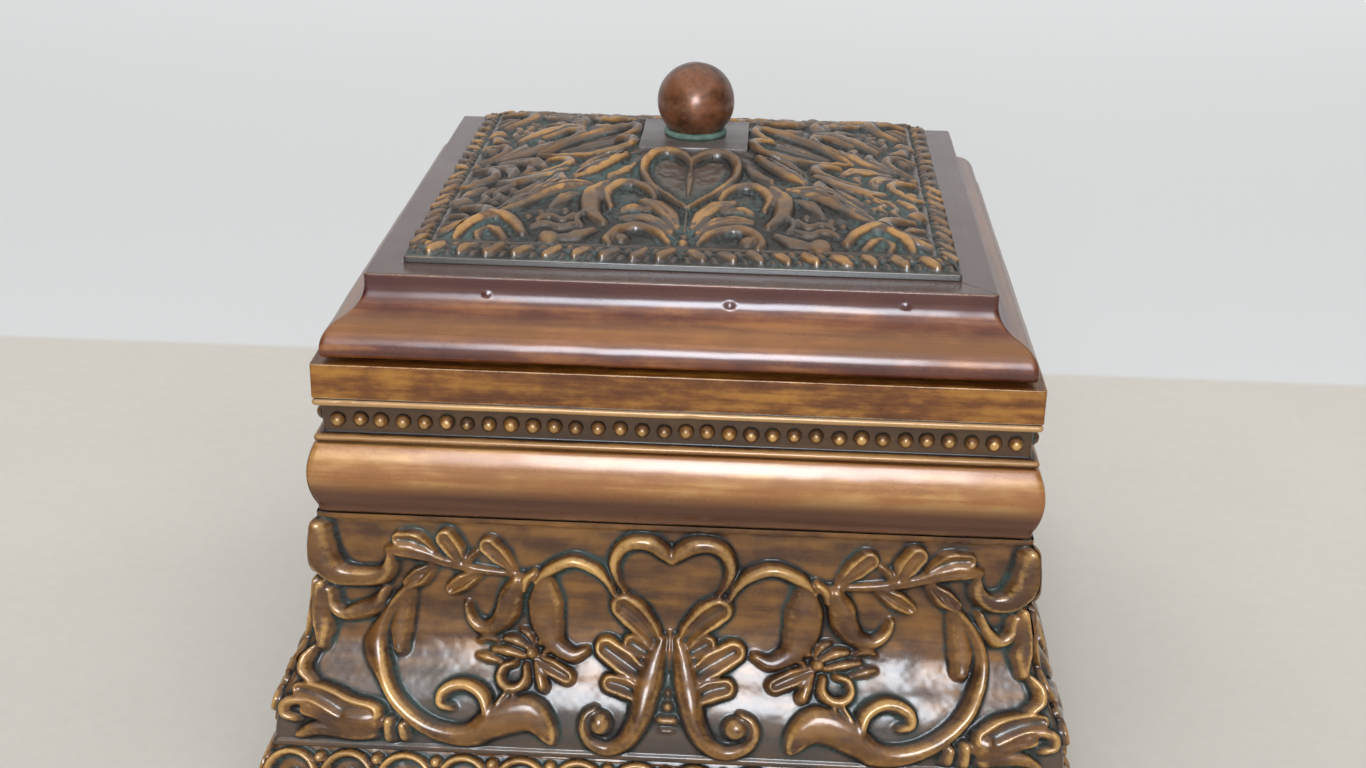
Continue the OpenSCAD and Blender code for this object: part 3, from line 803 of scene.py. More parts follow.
    def close(self, mesh: bpy.types.Mesh, seam: Array) -> None:
        """Joins the last row to the first and caps the mitred ends.

        Args:
            mesh: The open mesh.
            seam: Whether each vertex lies on the first or last row.
        """
        shell = bmesh.new()
        shell.from_mesh(mesh)
        shell.verts.ensure_lookup_table()
        bmesh.ops.remove_doubles(shell, verts=[shell.verts[k] for k in np.nonzero(seam)[0]], dist=1e-7)
        rims = [e for e in shell.edges if e.is_boundary]
        for face in shell.faces:
            face.smooth = True
        for edge in rims:
            edge.smooth = False
        bmesh.ops.holes_fill(shell, edges=rims, sides=0)
        bmesh.ops.recalc_face_normals(shell, faces=shell.faces[:])
        shell.to_mesh(mesh)
        shell.free()

    def turned(self, number: int) -> bpy.types.Mesh:
        """Makes the mesh of one side.

        Args:
            number: Quarter turns from the front.

        Returns:
            The mesh, with its place in it.
        """
        mesh = self.mesh.copy()
        mesh.transform(Matrix.Rotation(number * math.pi / 2, 4, "Z"))
        layer = mesh.uv_layers["run"].data
        spots = np.empty(len(layer) * 2, np.float32)
        layer.foreach_get("uv", spots)
        spots[0::2] += SIDE_SHIFT * number
        layer.foreach_set("uv", spots)
        return mesh

    def dress_sides(
        self, material: bpy.types.Material, body: str, slot: str, *stems: str, on_front: tuple[str, ...] = ()
    ) -> None:
        """Makes and dresses all four sides.

        Args:
            material: Their material.
            body: Name of the body that they ride on.
            slot: Name of the record's material slot.
            stems: Names of the nodes that they replace, without the side.
            on_front: Further nodes that the front one replaces.
        """
        for k, side in enumerate(SIDES):
            nodes = (*(f"{stem}_{side}" for stem in stems), *(on_front if k == 0 else ()))
            dress(f"{self.name}_{side}_skin", self.turned(k), material, body, slot, *nodes)


def places_of(mesh: bpy.types.Mesh) -> Array:
    """Places of the vertices, one in each row.

    Args:
        mesh: The mesh.

    Returns:
        The places.
    """
    flat = np.empty(len(mesh.vertices) * 3, np.float32)
    mesh.vertices.foreach_get("co", flat)
    return flat.reshape(-1, 3)


def mark(mesh: bpy.types.Mesh, values: dict[str, Array], spots: Array) -> None:
    """Writes what the finishes read onto a mesh.

    Args:
        mesh: The mesh.
        values: Relief, cavity and wear of each vertex.
        spots: Place of each vertex on the UV map, in metres.
    """
    for name, value in values.items():
        layer = mesh.attributes.new(name, "FLOAT", "POINT")
        layer.data.foreach_set("value", value.astype(np.float32))
    corners = np.empty(len(mesh.loops), np.int32)
    mesh.loops.foreach_get("vertex_index", corners)
    mesh.uv_layers.new(name="run").data.foreach_set("uv", spots[corners].astype(np.float32).ravel())


def show(name: str, mesh: bpy.types.Mesh) -> bpy.types.Object:
    """Puts a mesh into the scene.

    Args:
        name: Name of the object.
        mesh: Its mesh.

    Returns:
        The object.
    """
    mesh.name = name
    thing = bpy.data.objects.new(name, mesh)
    bpy.context.scene.collection.objects.link(thing)
    return thing


def dress(name: str, mesh: bpy.types.Mesh, material: bpy.types.Material, body: str, slot: str, *nodes: str) -> None:
    """Puts a new piece into the scene with its finish, its body and the nodes that it stands for.

    Args:
        name: Name of the piece.
        mesh: Its mesh.
        material: Its material.
        body: Name of the body that it rides on.
        slot: Name of the record's material slot; not used.
        nodes: Nodes of the frame that it replaces.
    """
    thing = show(name, mesh)
    mesh.materials.clear()
    mesh.materials.append(material)
    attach(thing, body)
    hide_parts(*nodes)
    LOG.info("%s: %d vertices on %s", name, len(mesh.vertices), body)


def to_mesh(name: str, shape: bmesh.types.BMesh, smooth_faces: bool = True) -> bpy.types.Mesh:
    """Turns a finished bmesh into a mesh in metres.

    Args:
        name: Name of the mesh.
        shape: The bmesh, in millimetres, which is freed.
        smooth_faces: Whether its faces are shaded smooth.

    Returns:
        The mesh.
    """
    bmesh.ops.scale(shape, vec=(MM, MM, MM), verts=shape.verts[:])
    bmesh.ops.recalc_face_normals(shape, faces=shape.faces[:])
    for face in shape.faces:
        face.smooth = smooth_faces
    mesh = bpy.data.meshes.new(name)
    shape.to_mesh(mesh)
    shape.free()
    return mesh


def block(low: Triple, high: Triple) -> bmesh.types.BMesh:
    """A block between two corners.

    Args:
        low: Its lowest corner.
        high: Its highest corner.

    Returns:
        The block.
    """
    size = tuple(b - a for a, b in zip(low, high))
    shape = bmesh.new()
    bmesh.ops.create_cube(shape, size=1.0)
    bmesh.ops.scale(shape, vec=size, verts=shape.verts[:])
    bmesh.ops.translate(shape, vec=tuple(a + s / 2 for a, s in zip(low, size)), verts=shape.verts[:])
    return shape


def round_edges(shape: bmesh.types.BMesh, edges: list[bmesh.types.BMEdge], radius: float, segments: int) -> None:
    """Bevels edges to a round of a radius."""
    bmesh.ops.bevel(shape, geom=edges, offset=radius, segments=segments, profile=0.5, affect="EDGES", material=-1)


def cut_off(shape: bmesh.types.BMesh, place: Triple, way: Triple) -> None:
    """Cuts away what lies past a plane and closes the cut.

    Args:
        shape: The shape.
        place: A point of the plane.
        way: The direction of what goes.
    """
    every = shape.verts[:] + shape.edges[:] + shape.faces[:]
    bmesh.ops.bisect_plane(shape, geom=every, plane_co=place, plane_no=way, clear_outer=True)
    bmesh.ops.holes_fill(shape, edges=[e for e in shape.edges if e.is_boundary], sides=0)


@dataclass(frozen=True)
class Sizes:
    """Sizes that several pieces share, in millimetres, as in the part's source."""

    in_r: float = 100.0
    wall_r: float = 109.0
    panel_top_r: float = 114.6
    panel_waist_r: float = 115.8
    panel_foot_r: float = 130.0
    ovolo_r: float = 135.5
    plinth_r: float = 137.5
    felt_z: float = 1.2
    board_top_z: float = 10.0
    plinth_z: float = 8.0
    panel_z: float = 30.0
    flare_z: float = 81.0
    torus_z: float = 109.0
    channel_z: float = 133.5
    fascia_z: float = 148.8
    rim_z: float = 160.5
    fascia_r: float = 115.1
    lip_r: float = 112.6
    top_r: float = 100.0
    mould_in_r: float = 88.8
    lid_top_z: float = 186.0
    carved_r: float = 89.0
    carved_z: float = 188.4
    knob_plinth_r: float = 19.0
    hip_top_z: float = 205.6


SIZE = Sizes()

# Short names for the tables of strokes, which give points, widths, height, form and vein. The sides are drawn from
# the middle outwards and from the top down, and the lid from the middle of an edge outwards and inwards.
R, F, H, C = Form.ROUND, Form.FULL, Form.HOLLOW, Form.CREST

HEART = (
    Stroke(((0, 11.8), (2.8, 9.2), (7.6, 6.4), (13, 6.4), (17, 9), (19, 14), (17.8, 19.5), (14.5, 25)),
        (4.2, 5.6, 6.2, 5.6, 5, 4, 2.6, 1.4), 3.3),
    Stroke(((0, 38), (0, 44), (0, 50.5)), (1.4, 3, 1.4), 2.6, C),
    bud(0, 58.2, 2.8, 1.8),
    bud(0, 62.6, 3.6, 2.2),
    Stroke(((-2.4, 67), (2.4, 67)), (2.6, 2.6), 2.0),
    Stroke(((-1.8, 70.6), (1.8, 70.6)), (1.8, 1.8), 1.2),
)

INNER_LEAF = (
    Stroke(((3.4, 42), (7.6, 36.6), (12.2, 31.4), (15.2, 29)), (3, 8.6, 10.8, 9.8), 2.9, H, 0.3),
    Stroke(((5, 46), (9, 43.4), (12.2, 41.4)), (4, 6.6, 6.2), 2.6, H),
    Stroke(((7.6, 53.4), (14.4, 48.2), (20.8, 43.8)), (5.4, 10, 8.8), 3.1, H, 0.3),
    Stroke(((8.6, 59.8), (13.6, 57), (18.8, 55.6)), (5, 7.4, 6.6), 2.9, H, 0.3),
    Stroke(((2.4, 40), (4.8, 48), (6.8, 57), (8.6, 66), (12.8, 74), (19.2, 77.4), (25.2, 75.2), (28, 70.6),
        (27.2, 66.2), (24, 64)), (3, 8.2, 9.6, 7.6, 6.4, 5.6, 5, 4.4, 3.6, 2.6), 3.4),
    bud(22.2, 68.6, 8.2, 3.3),
)

ARCH_AND_CUP = (
    Stroke(((18.8, 25), (21.2, 20), (25.7, 15.8), (33.2, 13.4), (41, 16.6), (45.9, 21.2)),
        (2, 3.6, 4.8, 5, 4.8, 3.4), 3.4),
    Stroke(((43.6, 21.4), (43.4, 29), (42.9, 36.2), (39.9, 43.2), (33.6, 46.9), (28.2, 45)),
        (7.4, 12.6, 12, 7.6, 5.2, 3), 3.2, F),
    Stroke(((52.6, 21.6), (55.2, 27.4), (56.6, 32.6), (60, 37), (64.9, 38.8), (69, 35.8), (71, 30.6)),
        (6, 9.2, 8.8, 6.6, 5.2, 4.2, 2.6), 3.4),
    Stroke(((46.8, 18.4), (49.6, 21), (50.4, 24.6)), (3, 4.2, 2.6), 3.0),
)

FLOWER = (
    Stroke(((46.4, 48.8), (40.6, 51.6), (35, 54.2)), (3, 6.4, 5.2), 2.7, H, 0.3),
    Stroke(((46.4, 50.4), (44.8, 54.6), (43.8, 58)), (3, 4.8, 4), 2.5),
    Stroke(((50.2, 51.6), (49.8, 55.6), (52.2, 58.6), (56.4, 58.8), (59, 56), (58, 52), (54.4, 50.6)),
        (2.6, 3.4, 3.6, 3.6, 3.4, 3, 2.4), 2.8),
    Stroke(((49, 45.6), (53.4, 43), (57.4, 42.4)), (2.2, 4, 2.8), 2.3),
    Stroke(((51, 48.2), (56.6, 46.6), (61.6, 46)), (2.2, 4, 2.6), 2.2),
    Stroke(((59.6, 50.2), (63.6, 48.8), (66.8, 48.2)), (2, 3.6, 2), 1.9),
    Stroke(((47.4, 43.8), (49, 40.8), (51.8, 39.4)), (2, 3.4, 2), 2.1),
    Stroke(((60, 43.2), (63.4, 41.8), (66.4, 42.8)), (1.8, 3.2, 2), 1.9),
    Stroke(((44, 46.8), (41, 45), (38.6, 45.4)), (2, 3.2, 2.2), 2.0),
    bud(48.2, 47, 4.4, 2.7),
    bud(45, 43.2, 3, 2.1),
)

GREAT_SCROLL = (
    Stroke(((87.4, 21), (91.6, 25.8), (96.2, 31.6), (99.6, 38.4), (100.9, 46), (99.8, 54.4), (96.2, 62),
        (89.8, 68.8), (82, 73.6), (73.4, 75.6), (66.6, 74.6), (61.6, 70.4)),
        (2.4, 3.8, 4.4, 4.8, 5, 5.2, 5.4, 5.8, 6.6, 7.6, 9, 8), 3.5),
    Stroke(((66, 74), (59.6, 70), (53.6, 67.4), (48, 66.8), (43.8, 69.2), (41.2, 72.6), (40, 75.2)),
        (8.6, 11.4, 12.4, 12, 10, 7.4, 4), 3.4, F),
    Stroke(((62.4, 73.4), (62.2, 67.4), (64.2, 62), (68.8, 58.9), (73.8, 58.8), (78, 61.4), (78.6, 65), (75.4, 66.4)),
        (5.6, 5, 4.8, 4.8, 4.8, 4.6, 3.8, 2.6), 3.3),
    Stroke(((60.6, 69.4), (57, 64.6), (54.6, 59.8)), (5, 5.8, 4), 3.0, H),
    Stroke(((90.4, 26), (92.4, 33), (94.2, 40.6), (94.5, 47)), (3.2, 6, 8, 5.6), 2.5, F),
)

SPRIG = (
    Stroke(((50.6, 19.6), (61.4, 18.8), (70.4, 17.6), (78, 15.6), (86, 13), (93, 11.9), (98.4, 12.4)),
        (2, 2.8, 3.2, 4, 6, 6.4, 3), 2.7, R, 0.6),
    Stroke(((54, 18), (58.8, 12.6), (62.6, 9)), (2.4, 6.6, 6.8), 2.6, H),
    Stroke(((71.8, 16.4), (74.8, 10.8), (77.6, 7)), (2.4, 6.8, 7), 2.6, H),
    Stroke(((82, 12.6), (88, 8.6), (94, 8)), (3, 6.4, 5), 2.5, H, 0.4),
    Stroke(((67, 20), (72, 22.6), (76, 25.2)), (3, 6.4, 4.8), 2.5, H, 0.3),
    Stroke(((83, 17.6), (87, 21), (90.6, 23.4)), (3, 6.6, 5), 2.5, H, 0.3),
    Stroke(((66.6, 11), (70, 14), (70.4, 17)), (1.8, 3, 2), 1.7),
)

CORNER = (
    Stroke(((97, 13.2), (98, 18.8), (102, 22), (107.4, 21.4), (111.4, 17), (112.8, 11.4), (112.8, 5.6)),
        (2.6, 5, 6.8, 8.6, 9.8, 9.2, 6.8), 3.6, F),
    Stroke(((99.4, 26.4), (101.6, 32.4), (105.6, 35.8), (109.4, 33), (110.4, 27.4)), (2.6, 4.4, 5.2, 4.6, 3), 3.0),
    Stroke(((113, 25.6), (113, 33), (113.2, 40), (114, 47)), (4.4, 6.8, 6.8, 3.6), 3.1, F),
)

CORNER_SPRAY = (
    Stroke(((115.8, 47.6), (119, 51.6), (119.4, 56), (115.6, 59.8)), (2.4, 4, 4.4, 3), 3.0),
    Stroke(((102.6, 68.6), (108, 65.2), (114.6, 62.8), (120.6, 61.8)), (8, 8.6, 7.4, 4.6), 3.2, H),
    Stroke(((104.6, 71.8), (111, 69.4), (117.4, 68)), (8, 7.2, 6), 3.0, F, 0.3),
    Stroke(((103, 75.4), (109.6, 74.6), (115.4, 74.8), (120.4, 77)), (6.4, 6, 5.4, 3.4), 2.8),
    Stroke(((117, 66), (120.6, 65.2), (124.4, 66.6), (124.6, 70), (121.4, 71.4)), (3.6, 4, 4.2, 3.8, 3), 3.0),
    bud(102.4, 70.8, 9.4, 3.5),
    Stroke(((91.2, 76.6), (91.6, 73)), (4.2, 4.8), 2.6),
    Stroke(((96.4, 77), (96.6, 71.6)), (4.2, 4.8), 2.8),
)

SIDE_STROKES = HEART + INNER_LEAF + ARCH_AND_CUP + FLOWER + GREAT_SCROLL + SPRIG + CORNER + CORNER_SPRAY

TOP_STROKES = (
    # The heart, its rib and the stem below it
    Stroke(((0, 62), (3, 66), (8, 68.4), (13, 66.4), (15.6, 60), (15, 52.5), (11.4, 45), (6, 38.4), (0.6, 32.6)),
        (2.6, 3.2, 3.4, 3.2, 3, 2.8, 2.6, 2.2, 1.6), 3.0),
    Stroke(((0, 60), (0, 50), (0, 41)), (1.4, 2.2, 1.2), 1.6),
    Stroke(((0, 31), (0, 24), (0, 18)), (1.2, 2, 1.6), 2.0, C),
    bud(0, 14.6, 2.6, 1.8),
    bud(0, 10.6, 3.4, 2.2),
    # Looping leaf and broad leaves
    Stroke(((11, 38), (13.4, 43.6), (18.4, 46.8), (24, 45.2), (27, 39.4), (25.4, 32)),
        (2.2, 3.2, 3.6, 3.6, 3.2, 2), 2.8),
    Stroke(((2.6, 20), (5.4, 27), (9.6, 32.6), (15.4, 36.6)), (3, 5.6, 5.6, 2.6), 2.6, R, 0.5),
    Stroke(((4.4, 17), (9, 22.4), (15, 25.6), (21.6, 25.4)), (2.6, 4.6, 4.2, 2), 2.4, R, 0.5),
    Stroke(((27.4, 46), (31.6, 38.4), (31.2, 29), (26.8, 22.6)), (3.2, 6.6, 5.2, 2.4), 2.9, F),
    Stroke(((33, 45), (40, 44.2), (47.4, 39.6), (53, 32.6)), (3, 6.4, 6, 2.2), 2.8, R, 0.6),
    Stroke(((34, 40), (41, 36.4), (45, 30.6)), (2, 4.4, 2), 2.2, R, 0.4),
    # Low volutes and bosses over the border
    Stroke(((4.6, 10.6), (8.4, 16.4), (14.6, 19.6), (21, 18), (25, 12.4), (24, 8.8)), (2, 3, 3.6, 3.4, 3, 2.4), 2.7),
    bud(20.4, 12.6, 4.4, 2.4),
    Stroke(((29.6, 17.4), (34.6, 13.4), (40.6, 11.4)), (2.4, 4.4, 3), 2.4),
    bud(43.6, 11.4, 6.6, 2.8),
    # Fine flower
    Stroke(((36.6, 26.4), (40, 23), (44.6, 25), (48.6, 22.4)), (2, 2.4, 2.2, 1.6), 1.9),
    Stroke(((36, 20.4), (40.6, 18.8), (45.4, 20.4), (50, 18.2)), (1.8, 2.4, 2.4, 1.6), 1.9),
    Stroke(((33.6, 28.4), (35.4, 24), (33.6, 20.4)), (2, 2.4, 1.8), 1.8),
    bud(47.6, 26.6, 2.8, 1.9),
    bud(39.6, 28.6, 2.6, 1.8),
    bud(51.6, 24.2, 2.4, 1.7),
    # Corner scroll
    Stroke(((52.4, 14), (56, 20.4), (61.4, 24), (67.4, 21.6), (71.6, 15.4), (73.4, 10)),
        (3, 4.2, 4.8, 4.4, 3.8, 2.4), 3.0),
    Stroke(((58, 10.6), (60.6, 15), (63.4, 17.4)), (2.4, 3.6, 2), 2.2),
    Stroke(((66, 9.6), (66.8, 13.4), (64.8, 16.4)), (2, 2.8, 1.6), 1.9),
    # Leaves up the hip
    Stroke(((62.4, 26.8), (55.6, 31.6), (48.6, 38.4), (41.8, 47)), (2, 4, 3.6, 1.6), 2.4, R, 0.5),
    Stroke(((38.6, 50.2), (33, 55), (27.4, 61), (22.6, 66.2)), (2, 4.6, 4.4, 3), 2.8, F),
    Stroke(((18.4, 60.6), (21.8, 55.6), (27.4, 51.4)), (1.6, 3.4, 2), 2.2),
    Stroke(((12.6, 30.6), (17.4, 32.4), (21.6, 30.6)), (1.8, 3.2, 1.6), 2.0),
)


def within(place: Array, pitch: float) -> Array:
    """Distance from the middle of the repeat that a place lies in."""
    x = place / pitch
    return (x - np.floor(x) - 0.5) * pitch


@dataclass(frozen=True)
class CarvedSides:
    """The four flared panels with their scrollwork, each one relief."""

    depth: float = 3.4
    waver: float = 0.5
    stretch_left: float = 0.07
    ledge_h: float = 0.7
    foot_h: float = 0.8
    foot_from: float = 79.0
    foot_to: float = 80.2
    ground_h: float = 0.12

    def relief(self, face: Face) -> Array:
        """Height of the carving on the panel.

        Args:
            face: Points of the face.

        Returns:
            The heights.
        """
        reach = np.abs(face.along)
        left = 1 + self.stretch_left * smooth(8, 40, reach) * (1 - smooth(92, 106, reach))
        drift = self.waver * face.lumps(22, 31) * smooth(2, 8, reach)
        u = np.where(face.along < 0, reach * left, reach) + drift
        v = face.down + self.waver * face.lumps(19, 32)
        cut = blur(carve(SIDE_STROKES, u, v), 0.9, 0.75)
        ledge = self.ledge_h * (1 - smooth(1.4, 2.6, face.down + 0.35 * face.lumps(3, 33)))
        foot = self.foot_h * smooth(self.foot_from, self.foot_to, face.down)
        hammered = 0.08 * face.lumps(6, 34) + 0.02 * face.lumps(1.8, 35)
        return np.maximum.reduce([cut, ledge, foot]) + hammered + self.ground_h

    def build(self, material: bpy.types.Material) -> None:
        """Builds and dresses the four sides.

        Args:
            material: The carved bronze.
        """
        s = SIZE
        z = np.linspace(s.torus_z, s.panel_z, 90)
        upper = s.panel_waist_r + (s.panel_top_r - s.panel_waist_r) * (z - s.flare_z) / (s.torus_z - s.flare_z)
        lower = s.panel_waist_r + ogee(s.panel_foot_r - s.panel_waist_r, s.flare_z - s.panel_z, s.flare_z - z)
        run = Run(
            "flared_panel", np.stack([np.where(z >= s.flare_z, upper, lower), z], axis=1),
            ((s.wall_r, s.panel_z), (s.wall_r, s.torus_z)), columns=450, step=0.45, softness=0.0, corner=1.2,
            wobble=0.0, seed=3, relief=self.relief, depth=self.depth,
        )
        run.build().dress_sides(material, "box", "antique_copper", "flared_panel", "scrollwork")


@dataclass(frozen=True)
class EggAndDartBase:
    """The base moulding: plinth and ovolo with eggs and darts."""

    depth: float = 2.6
    pitch: float = 19.0
    top_margin: float = 0.8
    shell_r: float = 8.3
    shell_t: float = 2.5
    egg_w: float = 8.8
    egg_h: float = 15.0
    egg_down: float = 14.2
    dart_r: float = 2.1
    dart_h: float = 2.0
    dart_down: float = 3.0
    spine_h: float = 1.2
    spine_w: float = 0.9
    ovolo_end: float = 21.0
    plain_from: float = 132.0
    plain_to: float = 134.0

    def relief(self, face: Face) -> Array:
        """Height of the eggs, their shells and the darts.

        Args:
            face: Points of the face.

        Returns:
            The heights.
        """
        local = within(face.along + 0.35 * face.lumps(14, 41), self.pitch)
        gap = self.pitch / 2 - np.abs(local)
        low = face.down - self.top_margin
        arch = low - self.shell_r - self.shell_t / 2
        ring = np.where(arch < 0, np.hypot(local, arch), np.abs(local)) - self.shell_r
        shell = self.depth * 0.8 * dome(ring / (self.shell_t / 2))
        middle = (low - self.egg_down) / (self.egg_h / 2)
        width = np.clip(1 - middle * middle, 1e-3, 1) * self.egg_w / 2
        egg = self.depth * dome(local / width) * np.clip(1 - middle**4, 0, 1) ** 0.5
        egg = egg * (np.abs(middle) < 1) * (np.abs(local) < width)
        dart = self.dart_h * dome(np.hypot(gap, low - self.dart_down) / self.dart_r)
        spine = self.spine_h * np.clip(1 - gap / self.spine_w, 0, 1) * smooth(4, 8, low)
        ends = 1 - smooth(self.plain_from, self.plain_to, np.abs(face.along))
        on_ovolo = 1 - smooth(self.ovolo_end, self.ovolo_end + 1, face.down)
        carved = np.maximum.reduce([shell, egg, dart, spine]) * ends * on_ovolo
        return np.minimum(carved, SIZE.plinth_r - 0.1 - face.radius) + 0.06 * face.lumps(2.2, 42)

    def build(self, material: bpy.types.Material) -> None:
        """Builds and dresses the four lengths.

        Args:
            material: The carved bronze.
        """
        s = SIZE
        t = np.linspace(1, 0, 24)
        ovolo_r = s.ovolo_r + (s.panel_foot_r - s.ovolo_r) * t * t
        ovolo = np.stack([ovolo_r, s.plinth_z + (s.panel_z - s.plinth_z) * t], axis=1)
        foot = [[s.plinth_r - 1, s.plinth_z], [s.plinth_r, s.plinth_z - 1], [s.plinth_r, s.felt_z]]
        run = Run(
            "base_moulding", np.vstack([ovolo, foot]), ((s.wall_r, s.felt_z), (s.wall_r, s.panel_z)), columns=440,
            step=0.45, softness=0.3, corner=1.0, wobble=0.12, seed=5, relief=self.relief, depth=self.depth,
        )
        run.build().dress_sides(material, "box", "gilt_bronze", "base_moulding", "egg_and_dart")


@dataclass(frozen=True)
class Scuff:
    """A scuffed spot: its place along and down a face, its reach both ways, its depth and its roughness."""

    along: float
    down: float
    wide: float
    high: float
    deep: float
    rough: float


@dataclass(frozen=True)
class RimMouldings:
    """Torus, beaded channel and fascia."""

    roll_r: float = 1.5
    channel_deep: float = 2.6
    inset: float = 0.6
    fillet_h: float = 2.0
    swell: float = 2.8
    torus_in: float = 3.0
    bead_d: float = 5.3
    bead_pitch: float = 6.9
    bead_count: int = 32
    bead_stray: float = 0.25
    bead_sunk: float = 0.3
    scuffs: tuple[Scuff, ...] = (Scuff(4.0, 28.6, 2.6, 1.6, 0.35, 0.8), Scuff(-103.0, 28.0, 4.2, 1.4, 0.3, 1.0))

    def relief(self, face: Face) -> Array:
        """The scuffs on the upper roll.

        Args:
            face: Points of the face.

        Returns:
            The heights.
        """
        lump = face.lumps(1.3, 51)
        out = np.zeros(lump.shape)
        for spot in self.scuffs:
            away = np.hypot((face.along - spot.along) / spot.wide, (face.down - spot.down) / spot.high)
            out = out - spot.deep * np.exp(-away * away) * (0.6 + spot.rough * lump)
        return out

    def build(self, torus: bpy.types.Material, fascia: bpy.types.Material, beads: bpy.types.Material) -> None:
        """Builds and dresses the mouldings and the beads.

        Args:
            torus: Finish of the torus.
            fascia: Finish of the fascia and its rolls.
            beads: Finish of the beads.
        """
        s = SIZE
        high = s.channel_z - s.torus_z - self.fillet_h
        round_r = (self.swell**2 + high**2 / 4) / (2 * self.swell)
        middle = s.torus_z + self.fillet_h + high / 2
        spread = math.degrees(math.asin(high / 2 / round_r))
        chain = [[s.wall_r + self.torus_in, s.channel_z], [s.fascia_r, s.channel_z]]
        chain += arc((s.fascia_r + self.swell - round_r, middle), round_r, spread, -spread, 24)
        chain += [[s.fascia_r, s.torus_z], [s.wall_r + self.torus_in, s.torus_z]]
        run = Run(
            "torus_moulding", np.array(chain), ((s.wall_r, s.torus_z), (s.wall_r, s.channel_z)), columns=150,
            step=0.5, softness=0.45, corner=1.6, wobble=0.45, seed=7,
        )
        run.build().dress_sides(torus, "box", "antique_copper", "torus_moulding")
        roll = s.fascia_r - self.roll_r
        floor = s.fascia_r - self.channel_deep
        chain = [[s.in_r + self.inset, s.rim_z], [s.fascia_r, s.rim_z], [s.fascia_r, s.fascia_z]]
        chain += arc((roll, s.fascia_z - self.roll_r), self.roll_r, 70, -90)
        chain += [[floor, s.fascia_z - 2 * self.roll_r], [floor, s.channel_z + 2 * self.roll_r]]
        chain += arc((roll, s.channel_z + self.roll_r), self.roll_r, 90, -90)
        chain += [[s.in_r + self.inset, s.channel_z]]
        run = Run(
            "rim_moulding", np.array(chain), ((s.in_r, s.channel_z), (s.in_r, s.rim_z)), columns=140, step=0.34,
            softness=0.22, corner=0.9, wobble=0.30, seed=9, relief=self.relief,
        )
        run.build().dress_sides(fascia, "box", "mottled_bronze", "rim_moulding")
        for k, side in enumerate(SIDES):
            dress(f"rim_beads_{side}_row", self.beads(k), beads, "box", "gilt_bronze", f"rim_beads_{side}")

    def beads(self, number: int) -> bpy.types.Mesh:
        """Makes one row of slightly uneven half beads.

        Args:
            number: Quarter turns from the front.

        Returns:
            The mesh of the row.
        """
        s = SIZE
        floor = s.fascia_r - self.channel_deep
        middle = (s.channel_z + s.fascia_z) / 2
        chance = np.random.default_rng(60 + number)
        stray = self.bead_stray
        shape = bmesh.new()
        for i in range(self.bead_count):
            size = self.bead_d / 2 * chance.uniform(0.96, 1.05)
            x = (i - (self.bead_count - 1) / 2) * self.bead_pitch + chance.uniform(-stray, stray)
            z = middle + chance.uniform(-stray, stray)
            place = Matrix.Translation((x, -floor, z)) @ Matrix.Rotation(math.pi / 2, 4, "X")
            stretch = Matrix.Diagonal((chance.uniform(0.94, 1.0), chance.uniform(0.95, 1.0), 1.0, 1.0))
            bmesh.ops.create_uvsphere(shape, u_segments=14, v_segments=8, radius=size, matrix=place @ stretch)
        cut_off(shape, (0, self.bead_sunk - floor, 0), (0, 1, 0))
        mesh = to_mesh("rim_beads", shape)
        places = places_of(mesh)
        out = (-places[:, 1] / MM - floor) / (self.bead_d / 2)
        # The cavity value darkens the foot of each bead as painted shade.
        values = {
            "relief": smooth(0.1, 0.6, out), "cavity": 1 - smooth(0.0, 0.55, out), "wear": smooth(0.75, 1.0, out)
        }
        mark(mesh, values, places[:, ::2] + SIDE_SHIFT * number)
        mesh.transform(Matrix.Rotation(number * math.pi / 2, 4, "Z"))
        return mesh


@dataclass(frozen=True)
class LidMoulding:
    """The hollow lid moulding with its rounded lip, and three small casting blisters as (along, down, size)."""

    arris_h: float = 3.825
    lip_h: float = 3.57
    shadow_gap: float = 0.9
    gap_r: float = 107.6
    blister_h: float = 0.4
    blisters: tuple[Triple, ...] = ((-60.5, 5.4, 1.1), (16.0, 6.2, 1.5), (71.0, 4.6, 1.2))

    def relief(self, face: Face) -> Array:
        """The blisters of the cove.

        Args:
            face: Points of the face.

        Returns:
            The heights.
        """
        out = np.zeros(face.along.shape)
        start = SIZE.top_r - SIZE.mould_in_r
        for x, drop, size in self.blisters:
            away = np.hypot(face.along - x, face.down - start - drop) / size
            out = out + self.blister_h * np.clip(1 - away * away, 0, 1) ** 0.7
        return out

    def build(self, material: bpy.types.Material) -> None:
        """Builds and dresses the four lengths.

        Args:
            material: The streaked lacquer.
        """
        s = SIZE
        high = s.lid_top_z - s.rim_z - self.arris_h - self.lip_h
        depth = np.linspace(0, high, 30)
        cove = np.stack([s.top_r + ogee(s.lip_r - s.top_r, high, depth), s.lid_top_z - self.arris_h - depth], axis=1)
        start = [[s.mould_in_r, s.lid_top_z], [s.top_r, s.lid_top_z]]
        gap_z = s.rim_z + self.shadow_gap
        lip = [[s.lip_r, gap_z + 1], [s.lip_r - 1, gap_z], [self.gap_r, gap_z], [self.gap_r, s.rim_z]]
        run = Run(
            "lid_moulding", np.vstack([start, cove, lip, [[s.mould_in_r + 0.5, s.rim_z]]]),
            ((s.mould_in_r, s.rim_z), (s.mould_in_r, s.lid_top_z - 0.5)), columns=240, step=0.42, softness=0.5,
            corner=1.3, wobble=0.35, seed=11, relief=self.relief,
        )
        run.build().dress_sides(material, "lid", "mahogany_copper", "lid_moulding")


